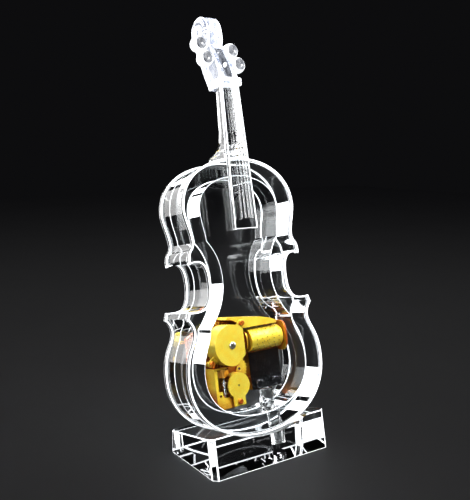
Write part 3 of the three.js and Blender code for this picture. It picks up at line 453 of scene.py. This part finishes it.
def slab(name, outline, front, back, edge=0.0, holes=()):
    """A flat piece drawn by its (x, z) outline, from front to back along y, with rounded rims."""
    curve = bpy.data.curves.new(name, "CURVE")
    curve.dimensions = "2D"
    curve.fill_mode = "BOTH"
    curve.extrude = (back - front) / 2 - edge
    curve.bevel_depth = edge
    curve.bevel_resolution = 2
    curve.offset = -edge
    for loop in (outline, *holes):
        spline = curve.splines.new("POLY")
        spline.points.add(len(loop) - 1)
        spline.use_cyclic_u = True
        for point, (x, z) in zip(spline.points, loop):
            point.co = (x, z, 0, 1)
    source = bpy.data.objects.new(name, curve)
    bpy.context.scene.collection.objects.link(source)
    bpy.context.view_layer.update()
    mesh = bpy.data.meshes.new_from_object(source.evaluated_get(bpy.context.evaluated_depsgraph_get()))
    bpy.data.objects.remove(source)
    bpy.data.curves.remove(curve)
    bm = bmesh.new()
    bm.from_mesh(mesh)
    bpy.data.meshes.remove(mesh)
    bmesh.ops.remove_doubles(bm, verts=bm.verts, dist=1e-4)
    bm.transform(Matrix.Translation((0, (front + back) / 2, 0)) @ Matrix.Rotation(pi / 2, 4, "X"))
    bmesh.ops.recalc_face_normals(bm, faces=bm.faces)
    for face in bm.faces:
        slanting = 0.15 < abs(face.normal.y) < 0.97
        face.material_index = RIM_FACE if slanting else FINISH_FACE
    mesh = bpy.data.meshes.new(name)
    bm.to_mesh(mesh)
    bm.free()
    return new_object(name, mesh)


def refined(node, width):
    """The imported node's own shape with its facets merged and its edges rounded."""
    bm = bmesh.new()
    bm.from_mesh(frame["nodes"][node].data)
    bm.transform(Matrix.Scale(1 / MM, 4) @ VIOLIN.inverted())
    bmesh.ops.remove_doubles(bm, verts=bm.verts, dist=1e-3)
    bmesh.ops.dissolve_limit(bm, angle_limit=COPLANAR, verts=bm.verts, edges=bm.edges)
    return bevel(from_bmesh(f"{node}_detail", bm), width)


def melted(piece, voxel, rounds):
    """Fuses overlapping solids into one softly rounded moulding."""
    remesh = piece.modifiers.new("fuse", "REMESH")
    remesh.mode = "VOXEL"
    remesh.voxel_size = voxel
    soften = piece.modifiers.new("soften", "SMOOTH")
    soften.factor = 0.5
    soften.iterations = rounds
    return bake(piece)


def sorted_faces(piece, chosen):
    """Each face takes the material whose number chosen(face) gives: finish, rims or painted shade."""
    empty_slots(piece, 3)
    bm = bmesh.new()
    bm.from_mesh(piece.data)
    for face in bm.faces:
        face.material_index = int(chosen(face))
    bm.to_mesh(piece.data)
    bm.free()
    return piece


def tight(face):
    """True on narrow ridges: the edges around the face bend by over 0.55 radians per millimetre."""
    bends = [e.calc_face_angle_signed(0.0) / max(e.calc_length(), 1e-6) for e in face.edges]
    return sum(bends) / len(bends) > 0.55


def merged(name, *pieces):
    """Several closed solids in one mesh; the separate ones are used up."""
    bm = bmesh.new()
    for piece in pieces:
        bm.from_mesh(piece.data)
        discard(piece)
    mesh = bpy.data.meshes.new(name)
    bm.to_mesh(mesh)
    bm.free()
    return new_object(name, mesh)

# ------------------------------------------------------------------ outlines of the body


def bezier(start, *rest, steps=14):
    """Points along a quadratic or cubic curve, without its first point."""
    corners = [Vector(p) for p in (start, *rest)]
    points = []
    for i in range(1, steps + 1):
        t = i / steps
        layer = corners
        while len(layer) > 1:
            layer = [a.lerp(b, t) for a, b in zip(layer, layer[1:])]
        points.append(tuple(layer[0]))
    return points


def chain(start, *curves):
    """A path of curves, each beginning where the one before it ends."""
    points = [start]
    for controls in curves:
        steps = 1 if len(controls) == 1 else 14
        points += bezier(points[-1], *controls, steps=steps)
    return points


def both_sides(half):
    """A right-hand outline from bottom to top, closed by its mirror image."""
    return half + [(-x, z) for x, z in reversed(half[1:-1])]


def body_outline(inset=0.0):
    """The violin's outline as (x, z), drawn in all round by the inset."""
    i = inset
    half = chain(
        (0, 13.5 + i),
        [(23, 13.5 + i), (37.3 - i, 26), (37.3 - i, 42.5)],
        [(37.3 - i, 56), (31.7 - i, 57.8), (31.7 - i, 63.5)],
        [(31.7 - i, 66.3), (34.4 - i, 69.2 + i / 2)],
        [(33.3 - i, 72.5 - i / 2)],
        [(25.6 - i, 71.8), (21.6 - i, 72.5), (21.6 - i, 84.5)],
        [(21.6 - i, 92.4), (24.6 - i, 95), (30.4 - i, 92.9 + i / 2)],
        [(30.8 - i, 96.6), (29.4 - i, 98.8)],
        [(27.7 - i, 100.6), (27.7 - i, 102.3)],
        [(27.7 - i, 107), (30.5 - i, 112.4), (30.5 - i, 117)],
        [(30.5 - i, 130.5), (17.8, 139.6 - i), (0, 139.6 - i)],
    )
    return both_sides(half)


def hollow_outline():
    """The hollow inside the ribs as (x, z)."""
    half = chain(
        (0, 22.3),
        [(17, 22.3), (28, 30), (28, 43.5)],
        [(28, 53), (22.8, 57.5), (22.5, 63.5)],
        [(17.5, 69), (13.3, 76), (13.3, 85)],
        [(13.3, 93), (16, 98.5), (19.5, 102.5)],
        [(19.8, 108), (21.2, 111), (21.2, 116)],
        [(21.2, 125.5), (12.5, 131), (0, 131)],
    )
    return both_sides(half)

# ------------------------------------------------------------------ block, post and body


def wedge_block():
    """The block as it stands on the table: level underside, upright back, leaning front and top."""
    half, c = BASE["half"], BASE["chamfer"]
    height = BASE["top"] - BASE["bottom"]
    depth = (BASE["back"] - BASE["front"]) * cos(LEAN) + height * sin(LEAN)
    set_back = height * sin(LEAN)
    low, high = [], []
    bm = bmesh.new()
    for front, ring in ((0, low), (set_back, high)):
        corners = [(half - c, front), (half, front + c), (half, depth - c), (half - c, depth),
                   (c - half, depth), (-half, depth - c), (-half, front + c), (c - half, front)]
        for x, y in corners:
            z = 0 if ring is low else height * cos(LEAN) - (y - set_back) * tan(LEAN)
            ring.append(bm.verts.new((x, y - depth / 2, z)))
    for i in range(8):
        j = (i + 1) % 8
        bm.faces.new([low[i], low[j], high[j], high[i]])
    bm.faces.new(low)
    bm.faces.new(high)
    bm.transform(Matrix.Scale(1 / MM, 4) @ VIOLIN.inverted() @ Matrix.Scale(MM, 4))
    return from_bmesh("base_block_detail", bm)


def post_hole():
    """Cutter for the hole that the post stands in."""
    return rod("post_hole", POST["radius"] + 0.1, POST["low"] - 0.2, 40, "z", (POST["x"], POST["y"], 0))


block = bevel(wedge_block(), 0.4, 2)
saddle = slab("saddle", body_outline(-0.1), BASE["front"] - 4, BODY_BACK + 0.1)
settle(carve(block, saddle, post_hole()), "base_block")

post = rounded_rod("support_post_detail", POST["radius"], POST["low"], POST["high"], 0.3, "z",
                   (POST["x"], POST["y"], 0), 64)
settle(post, "support_post")

RIM = 0.6
settle(slab("front_plate_detail", body_outline(), BODY_FRONT, INSIDE_FRONT, RIM), "front_plate")
back = slab("back_plate_detail", body_outline(), INSIDE_BACK, BODY_BACK, RIM)
back = carve(back, *(rod("hole", 1.3, 0, 12, "y", (x, 0, z)) for x, z in BACK_SCREWS),
             rod("hole", 1.1, 0, 12, "y", (SPINDLE.x, 0, SPINDLE.z)))
settle(back, "back_plate")
ring = slab("rib_ring_detail", body_outline(1), INSIDE_FRONT + GAP, INSIDE_BACK - GAP, 0.3,
            [hollow_outline()])
settle(carve(ring, post_hole()), "rib_ring")

# ------------------------------------------------------------------ neck, fingerboard and nut


def loft(name, sections):
    """A closed bar through rings of points, each ring at its own height."""
    bm = bmesh.new()
    rings = [[bm.verts.new(p) for p in ring] for ring in sections]
    sides = len(rings[0])
    for low, high in zip(rings, rings[1:]):
        for i in range(sides):
            j = (i + 1) % sides
            bm.faces.new([low[i], low[j], high[j], high[i]])
    bm.faces.new(list(reversed(rings[0])))
    bm.faces.new(rings[-1])
    return from_bmesh(name, bm)


def half_round(z, half, front, depth, steps=24):
    """The neck's section: flat in front and round behind."""
    return [(half * cos(pi * i / steps), front + depth * sin(pi * i / steps), z) for i in range(steps + 1)]


def eased(stations, count=8):
    """Values between stations (height first), joined smoothly."""
    rows = []
    for (z0, *a), (z1, *b) in zip(stations, stations[1:]):
        for i in range(count):
            t = i / count
            ease = t * t * (3 - 2 * t)
            rows.append((z0 + (z1 - z0) * t, *(p + (q - p) * ease for p, q in zip(a, b))))
    return rows + [stations[-1]]


# Height, half width and depth of the neck, from its heel upwards
NECK = [(136, 6.4, 22), (141.5, 6.2, 20.5), (144, 5.7, 13.5), (147.5, 5.3, 9.6),
        (153, 5.1, 8.4), (171.8, 4.6, 7.4)]
neck_front = BOARD["back"] + GAP
neck = loft("neck_detail", [half_round(z, half, neck_front, depth) for z, half, depth in eased(NECK)])
neck = carve(neck, slab("body", body_outline(-0.1), -30, 30))
neck = settle(bevel(neck, 0.25), "neck")


def board_section(z, steps=16):
    """Flat back and gently domed front."""
    along = (z - BOARD["low"]) / (BOARD["high"] - BOARD["low"])
    half = BOARD["half_low"] + (BOARD["half_high"] - BOARD["half_low"]) * along
    dome = [1 - 2 * i / steps for i in range(steps + 1)]
    front = [(half * s, BOARD["front"] + BOARD["dome"] * s * s, z) for s in dome]
    return [(half, BOARD["back"], z), *front, (-half, BOARD["back"], z)]


board = loft("fingerboard_detail", [board_section(BOARD["low"]), board_section(BOARD["high"])])
board = settle(bevel(board, 0.3), "fingerboard")

nut = box("nut_detail", (-5.4, 5.4), (-19.3, -13.2), (171.9, 175.6))
settle(bevel(nut, 0.6, 3), "nut")


def string(name, share):
    """One string over the domed board; its share of the spread is -1 at the left and 1 at the right."""
    low = Vector((share * STRING["spread_low"], 0, STRING["low"]))
    high = Vector((share * STRING["spread_high"], 0, STRING["high"]))
    dome = BOARD["dome"] * (STRING["spread_low"] / BOARD["half_low"]) ** 2 * share * share
    wire = rounded_rod(name, STRING["radius"], 0, (high - low).length, 0.1, "z", segments=16)
    turn = (high - low).to_track_quat("Z", "Y").to_matrix().to_4x4()
    front = BOARD["front"] + dome - STRING["radius"] - GAP - STRING["lift"]
    wire.data.transform(Matrix.Translation(low + Vector((0, front, 0))) @ turn)
    return wire


for i in range(4):
    settle(string(f"string_{i + 1}_detail", (i - 1.5) / 1.5), f"string_{i + 1}")

# ------------------------------------------------------------------ scroll and pegs


def sweep(name, points, radii, sides=14):
    """A round bar of changing thickness along a line of points."""
    bm = bmesh.new()
    rings = []
    for i, (point, radius) in enumerate(zip(points, radii)):
        ahead = points[min(i + 1, len(points) - 1)] - points[max(i - 1, 0)]
        turn = ahead.to_track_quat("Z", "X").to_matrix()
        angles = [2 * pi * k / sides for k in range(sides)]
        rings.append([bm.verts.new(point + turn @ Vector((radius * cos(a), radius * sin(a), 0)))
                      for a in angles])
    for low, high in zip(rings, rings[1:]):
        for k in range(sides):
            m = (k + 1) % sides
            bm.faces.new([low[k], low[m], high[m], high[k]])
    bm.faces.new(list(reversed(rings[0])))
    bm.faces.new(rings[-1])
    return from_bmesh(name, bm)


def volute(side):
    """A ridge that winds inwards from the scroll's edge to its eye, standing out as it goes."""
    points, radii = [], []
    steps = 70
    for i in range(steps + 1):
        share = i / steps
        angle = radians(SCROLL["start"]) - 2 * pi * SCROLL["turns"] * share
        reach = 5.9 * (1 - share) + 0.4 * share
        out = 3.4 + 2.2 * share
        y, z = SCROLL["y"] + reach * cos(angle), SCROLL["z"] + reach * sin(angle)
        points.append(Vector((side * out, y, z)))
        radii.append(1.35 - 0.15 * share)
    return sweep("volute", points, radii)


def head_profile():
    """Side view of the head as (y, z): pegbox, then the round of the scroll."""
    y, z, r = SCROLL["y"], SCROLL["z"], SCROLL["radius"]
    front = chain((-13.1, HEAD["low"]), [(-13.1, 175.8)], [(-17.2, 175.8)],
                  [(-16.2, 182), (-12.5, 188.5), (-9.6, 193.6)],
                  [(-10.6, 196), (-11, 199), (y - r, z)])
    top = [(y + r * cos(pi - a), z + r * sin(pi - a)) for a in (pi * i / 24 for i in range(1, 25))]
    rear = chain(top[-1], [(5.4, 196), (1.5, 192.5), (-0.8, 187)],
                 [(-2.6, 182), (-5.2, 176.6), (-7.8, HEAD["low"])])
    return front + top + rear[1:]


def head_half_width(z):
    """The head narrows towards the scroll."""
    share = (min(z, HEAD["narrow"]) - HEAD["low"]) / (HEAD["narrow"] - HEAD["low"])
    return HEAD["half_low"] + (HEAD["half_high"] - HEAD["half_low"]) * share


def head_blank():
    """The head's side view as a solid, cut into rows so that it can narrow towards the top."""
    blank = slab("head_blank", head_profile(), -1, 1)
    swap_x_and_y = Matrix(((0, 1, 0, 0), (1, 0, 0, 0), (0, 0, 1, 0), (0, 0, 0, 1)))
    blank.data.transform(swap_x_and_y)
    bm = bmesh.new()
    bm.from_mesh(blank.data)
    for row in range(173, 208):
        everything = bm.verts[:] + bm.edges[:] + bm.faces[:]
        bmesh.ops.bisect_plane(bm, geom=everything, plane_co=(0, 0, row), plane_no=(0, 0, 1))
    for vert in bm.verts:
        vert.co.x *= head_half_width(vert.co.z)
    bm.normal_update()
    bmesh.ops.recalc_face_normals(bm, faces=bm.faces)
    bm.to_mesh(blank.data)
    bm.free()
    return blank


def head():
    """Pegbox and scroll, with a slot for the strings and a hole for each peg."""
    eyes = [rounded_rod("eye", SCROLL["eye"], 0, SCROLL["half"], 0.6, "x") for _ in range(2)]
    eyes[1].data.transform(Matrix.Scale(-1, 4, (1, 0, 0)))
    for eye in eyes:
        eye.data.transform(Matrix.Translation((0, SCROLL["y"], SCROLL["z"])))
    solid = merged("scroll_head_detail", head_blank(), volute(-1), volute(1), *eyes)
    # The narrow ridges take the rim material, with its painted glow.
    solid = sorted_faces(melted(solid, 0.24, 5), tight)
    # The slot's walls take the painted shade.
    slot = sorted_faces(box("slot", (-2.1, 2.1), (-6.5, 3.6), (-8.2, 8.2)), lambda face: PAINTED_SHADE_FACE)
    slot.data.transform(Matrix.Translation((0, -14.2, 184)) @ Matrix.Rotation(-0.42, 4, "X"))
    holes = []
    for side, y, z in PEGS.values():
        span = (1.4, 8) if side > 0 else (-8, -1.4)
        holes.append(rod("peg_hole", PEG["hole"], *span, "x", (0, y, z), 32))
    return carve(solid, slot, *holes)


def thumb_flat(face):
    """The flats of a peg's thumb piece take the painted shade, and all the rest of it the rim material, with its
    painted glow.
    """
    flat = face.calc_center_median().x > 6 and abs(face.normal.y) > 0.62
    return PAINTED_SHADE_FACE if flat else RIM_FACE


def ellipsoid(name, centre, radii):
    bm = bmesh.new()
    bmesh.ops.create_uvsphere(bm, u_segments=40, v_segments=24, radius=1)
    bm.transform(Matrix.Translation(centre) @ Matrix.Diagonal((*radii, 1)))
    return from_bmesh(name, bm)


def peg(side, y, z):
    """A shank, a collar, and a round thumb piece hollowed on both flats."""
    shank = rounded_rod("shank", PEG["shank"], 1.6, 7.2, 0.15, "x")
    collar = rounded_rod("collar", PEG["collar"], 5.1, 6.1, 0.4, "x")
    thumb = ellipsoid("thumb", (8.6, 0, 0), PEG["thumb"])
    solid = sorted_faces(melted(merged("peg", shank, collar, thumb), 0.16, 3), thumb_flat)
    hollows = []
    for turn in (-1, 1):
        hollow = ellipsoid("thumb_hollow", (8.8, turn * 5.6, 0), PEG["hollow"])
        # The hollows' faces take the painted shade.
        hollows.append(sorted_faces(hollow, lambda face: PAINTED_SHADE_FACE))
    solid = carve(solid, *hollows)
    solid.data.transform(Matrix.Translation((0, y, z)) @ Matrix.Diagonal((side, 1, 1, 1)))
    if side < 0:
        solid.data.flip_normals()
    return solid


settle(head(), "scroll_head", finish=MOULDED)
for node, place in PEGS.items():
    piece = peg(*place)
    piece.name = f"{node}_detail"
    settle(piece, node)

# ------------------------------------------------------------------ movement

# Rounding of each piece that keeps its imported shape, in millimetres
ROUNDED = {
    "worm_bracket": 0.18, "train_bridge": 0.16, "cylinder_bearing_left": 0.16,
    "cylinder_bearing_right": 0.22, "comb": 0.05, "great_wheel": 0.06, "second_wheel": 0.05,
    "third_pinion": 0.04, "worm_wheel": 0.05, "ratchet_wheel": 0.05, "click": 0.08, "winding_key": 0.3,
    "mainspring": 0.04, "worm_shaft": 0.04, "fan": 0.08, "cylinder_pinion": 0.05,
    "governor_cover": 0.2, "spring_housing": 0.4,
}
for node, width in ROUNDED.items():
    # The spring housing takes the pale gold, without the gold's painted shade.
    settle(refined(node, width), node, finish=PALE_GOLD if node == "spring_housing" else None)
# The bedplate's back faces take the pale gold, without painted shade; the rest takes the gold, with painted shade
# in its recesses.
bedplate = sorted_faces(refined("bedplate", 0.22), lambda face: face.normal.y > 0.5)
settle(bedplate, "bedplate", PALE_GOLD)     # its back is flat and open, with nothing to shade it


def pinned_drum():
    """A plated drum with a row of short wire pins for each tooth of the comb."""
    radius, left, right = DRUM["radius"], DRUM["left"], DRUM["right"]
    bore, edge, margin, pin_radius = DRUM["bore"], DRUM["edge"], DRUM["margin"], DRUM["pin_radius"]
    profile = [(bore, left), (radius - edge, left), (radius, left + edge), (radius, right - edge),
               (radius - edge, right), (bore, right), (bore, left)]
    centre = (0, DRUM["y"], DRUM["z"])
    shell = lathe("drum", profile, "x", centre, 128)
    pins = []
    pitch = (right - left - 2 * margin) / (DRUM["tracks"] - 1)
    tall = radius + DRUM["pin"]
    for track in range(DRUM["tracks"]):
        for note in range(DRUM["notes"]):
            stray = (track * 11 + note * note * 5) % 36 / 36          # spreads the pins as a tune would
            angle = 2 * pi * (note + stray) / DRUM["notes"]
            pin = lathe("pin", [(0, radius - 0.3), (pin_radius, radius - 0.3), (pin_radius, tall - 0.08),
                                (0.1, tall), (0, tall)], "z", segments=8)
            pin.data.transform(Matrix.Translation((left + margin + track * pitch, DRUM["y"], DRUM["z"]))
                               @ Matrix.Rotation(angle, 4, "X"))
            for polygon in pin.data.polygons:
                polygon.material_index = RIM_FACE
            pins.append(pin)
    return merged("pinned_cylinder_detail", shell, *pins)


settle(pinned_drum(), "pinned_cylinder", PIN_METAL)
arbor = rounded_rod("cylinder_arbor_detail", 0.9, -3.5, 22.1, 0.15, "x", (0, DRUM["y"], DRUM["z"]))
settle(arbor, "cylinder_arbor")


# Shank radius, shank length, head radius and head height of each size of screw
MOVEMENT_SCREW = (1, 4.6, 2.2, 1.5)
COMB_SCREW = (0.9, 3.8, 2, 1.3)
HOUSING_SCREW = (0.65, 4, 1.4, 1)
BRIDGE_SCREW = (0.65, 4, 1.1, 0.9)
GOVERNOR_SCREW = (0.65, 4, 1.3, 0.9)
TO_FRONT, TO_BACK = -1, 1


def screw(node, place, size, side, turn):
    """Cheese-head screw along y, with a domed slotted head; turn is the angle of its slot."""
    shank, length, head_radius, head_height = size
    dome = [(head_radius, head_height * 0.55)]
    for i in range(1, 7):
        a = radians(15 * i)
        dome.append((head_radius * (0.72 + 0.28 * cos(a)), head_height * (0.55 + 0.45 * sin(a))))
    profile = [(0, -length), (shank, -length), (shank, 0), (head_radius - 0.08, 0), (head_radius, 0.08),
               *dome, (0, head_height)]
    solid = lathe(f"{node}_detail", profile, "y")
    reach = head_radius + 1
    slot = box("slot", (-reach, reach), (head_height * 0.5, head_height + 1), (-0.22, 0.22))
    slot.data.transform(Matrix.Rotation(turn, 4, "Y"))
    carve(solid, slot)
    flip = Matrix.Rotation(pi, 4, "Z") if side == TO_FRONT else Matrix.Identity(4)
    solid.data.transform(Matrix.Translation(place) @ flip)
    settle(solid, node)


def arbor_along_y(node, profile, x, z):
    settle(lathe(f"{node}_detail", profile, "y", (x, 0, z)), node)


arbor_along_y("winding_arbor", [
    (0, -10.8), (0.6, -10.77), (1.1, -10.65), (1.45, -10.45), (1.7, -10.15), (1.7, -9.85), (1.2, -9.85),
    (1.2, -8.7), (1.6, -8.7), (1.6, 5.2), (1.0, 5.2), (1.0, 12.1), (0.9, 12.2), (0, 12.2)],
    SPINDLE.x, SPINDLE.z)
second_axis = axis_place("second_turn")
third_axis = axis_place("third_turn")

EASE = 0.975            # the second pinion's teeth are drawn in a little, so that they run free in mesh
pinion = refined("second_pinion", 0.05)
around = Matrix.Translation((second_axis.x, 0, second_axis.z))
pinion.data.transform(around @ Matrix.Diagonal((EASE, 1, EASE, 1)) @ around.inverted())
settle(pinion, "second_pinion")

arbor_along_y("second_arbor", [(0, -3), (0.5, -3), (0.6, -2.9), (0.6, 4.5), (0.5, 4.6), (0, 4.6)],
              second_axis.x, second_axis.z)
arbor_along_y("third_arbor", [(0, -7.2), (0.4, -7.2), (0.5, -7.1), (0.5, 4.5), (0.4, 4.6), (0, 4.6)],
              third_axis.x, third_axis.z)

for i, (x, z) in enumerate(BACK_SCREWS):
    place = (x, BODY_BACK + GAP, z)
    screw(f"movement_screw_{i + 1}", place, MOVEMENT_SCREW, TO_BACK, radians(25 + 40 * i))
for i, x in enumerate((6.4, 15.6)):
    screw(f"comb_screw_{i + 1}", (x, -2.65 - GAP, 33.9), COMB_SCREW, TO_FRONT, radians(70 - 50 * i))
for i, angle in enumerate((radians(48), radians(215))):
    place = (SPINDLE.x + 12.3 * cos(angle), -6.6 - GAP, SPINDLE.z + 12.3 * sin(angle))
    screw(f"housing_screw_{i + 1}", place, HOUSING_SCREW, TO_FRONT, radians(15 + 60 * i))
for i, (x, z) in enumerate(((-11, 29.6), (-0.6, 35.2))):
    screw(f"bridge_screw_{i + 1}", (x, -3.2 - GAP, z), BRIDGE_SCREW, TO_FRONT, radians(40 * i - 20))
screw("governor_screw", (-8.3, -7.5 - GAP, 28.8), GOVERNOR_SCREW, TO_FRONT, radians(30))

# ------------------------------------------------------------------ stage, light and camera


def floor():
    """A wide plain floor just under the block."""
    bm = bmesh.new()
    bmesh.ops.create_grid(bm, x_segments=8, y_segments=8, size=1.6)
    piece = from_bmesh("floor", bm)
    piece.location.z = CAD_BOX[0][2] - 0.0002
    piece.data.materials.append(studio_floor())
    return piece


def softbox(name, place, target, size, radiance, spares=()):
    """A soft light of the given brightness, turned towards a target, flagged off some pieces."""
    lamp = bpy.data.lights.new(name, "AREA")
    lamp.shape = "RECTANGLE"
    lamp.size, lamp.size_y = size
    lamp.energy = radiance * size[0] * size[1] * pi
    piece = bpy.data.objects.new(name, lamp)
    bpy.context.scene.collection.objects.link(piece)
    aim = (Vector(target) - Vector(place)).to_track_quat("-Z", "Y")
    piece.matrix_world = Matrix.Translation(place) @ aim.to_matrix().to_4x4()
    if spares:
        spared = bpy.data.collections.new(f"{name}_spares")
        for other in spares:
            spared.objects.link(other)
        for entry in spared.collection_objects:
            entry.light_linking.link_state = "EXCLUDE"
        piece.light_linking.receiver_collection = spared


FLOOR = floor()
NOT_GLASS = [FLOOR, *METALWORK]
MIDDLE = (0, 0, 0.1)
softbox("left_side", (-0.5, 0.06, 0.2), MIDDLE, (0.46, 0.9), 5, NOT_GLASS)
softbox("right_side", (0.52, -0.06, 0.34), (0, 0, 0.24), (0.46, 0.6), 5, [*NOT_GLASS, neck, board])
softbox("back_left", (-0.26, 0.52, 0.2), MIDDLE, (0.4, 0.9), 4, NOT_GLASS)
softbox("back_right", (0.72, 0.18, 0.34), (0, 0, 0.24), (0.28, 0.6), 4, [*NOT_GLASS, board])
softbox("top", (0, 0.05, 0.62), MIDDLE, (0.3, 0.3), 4, [FLOOR])
softbox("front_key", (0.15, -0.28, 0.56), (0, 0, 0.05), (0.17, 0.15), 100, [FLOOR])
softbox("front_left", (-0.5, -0.3, 0.3), (0, 0, 0.05), (0.2, 0.3), 7, [FLOOR])
softbox("back_of_movement", (0.1, 0.6, 0.4), (0, 0, 0.05), (0.2, 0.2), 10, [FLOOR])
softbox("floor_pool", (0, 0, 0.9), (0, 0, 0), (0.4, 0.4), 0.4)


def dark_studio():
    """A nearly black room, with colours shown as they are lit."""
    world = bpy.data.worlds.new("studio")
    world.use_nodes = True
    background = next(n for n in world.node_tree.nodes if n.type == "BACKGROUND")
    background.inputs["Color"].default_value = (0.004, 0.004, 0.0045, 1)
    bpy.context.scene.world = world
    bpy.context.scene.view_settings.view_transform = "Standard"


dark_studio()

CAMERA = {"place": (-0.1809, -0.25034, 0.14112), "yaw": 34.456, "down": 8.561, "roll": 0.157, "lens": 49.85}


def camera():
    """A camera turned right by its yaw, tilted down, and rolled a trace."""
    yaw, down, roll = (radians(CAMERA[turn]) for turn in ("yaw", "down", "roll"))
    forward = Vector((sin(yaw) * cos(down), cos(yaw) * cos(down), -sin(down)))
    across = Vector((cos(yaw), -sin(yaw), 0))
    upward = across.cross(forward)
    right = cos(roll) * across + sin(roll) * upward
    up = cos(roll) * upward - sin(roll) * across
    lens = bpy.data.cameras.new("camera")
    lens.lens = CAMERA["lens"]
    lens.sensor_width = 36
    lens.clip_start = 0.01
    piece = bpy.data.objects.new("camera", lens)
    bpy.context.scene.collection.objects.link(piece)
    place = Matrix((right, up, -forward)).transposed().to_4x4()
    place.translation = Vector(CAMERA["place"])
    piece.matrix_world = place
    bpy.context.scene.camera = piece


camera()
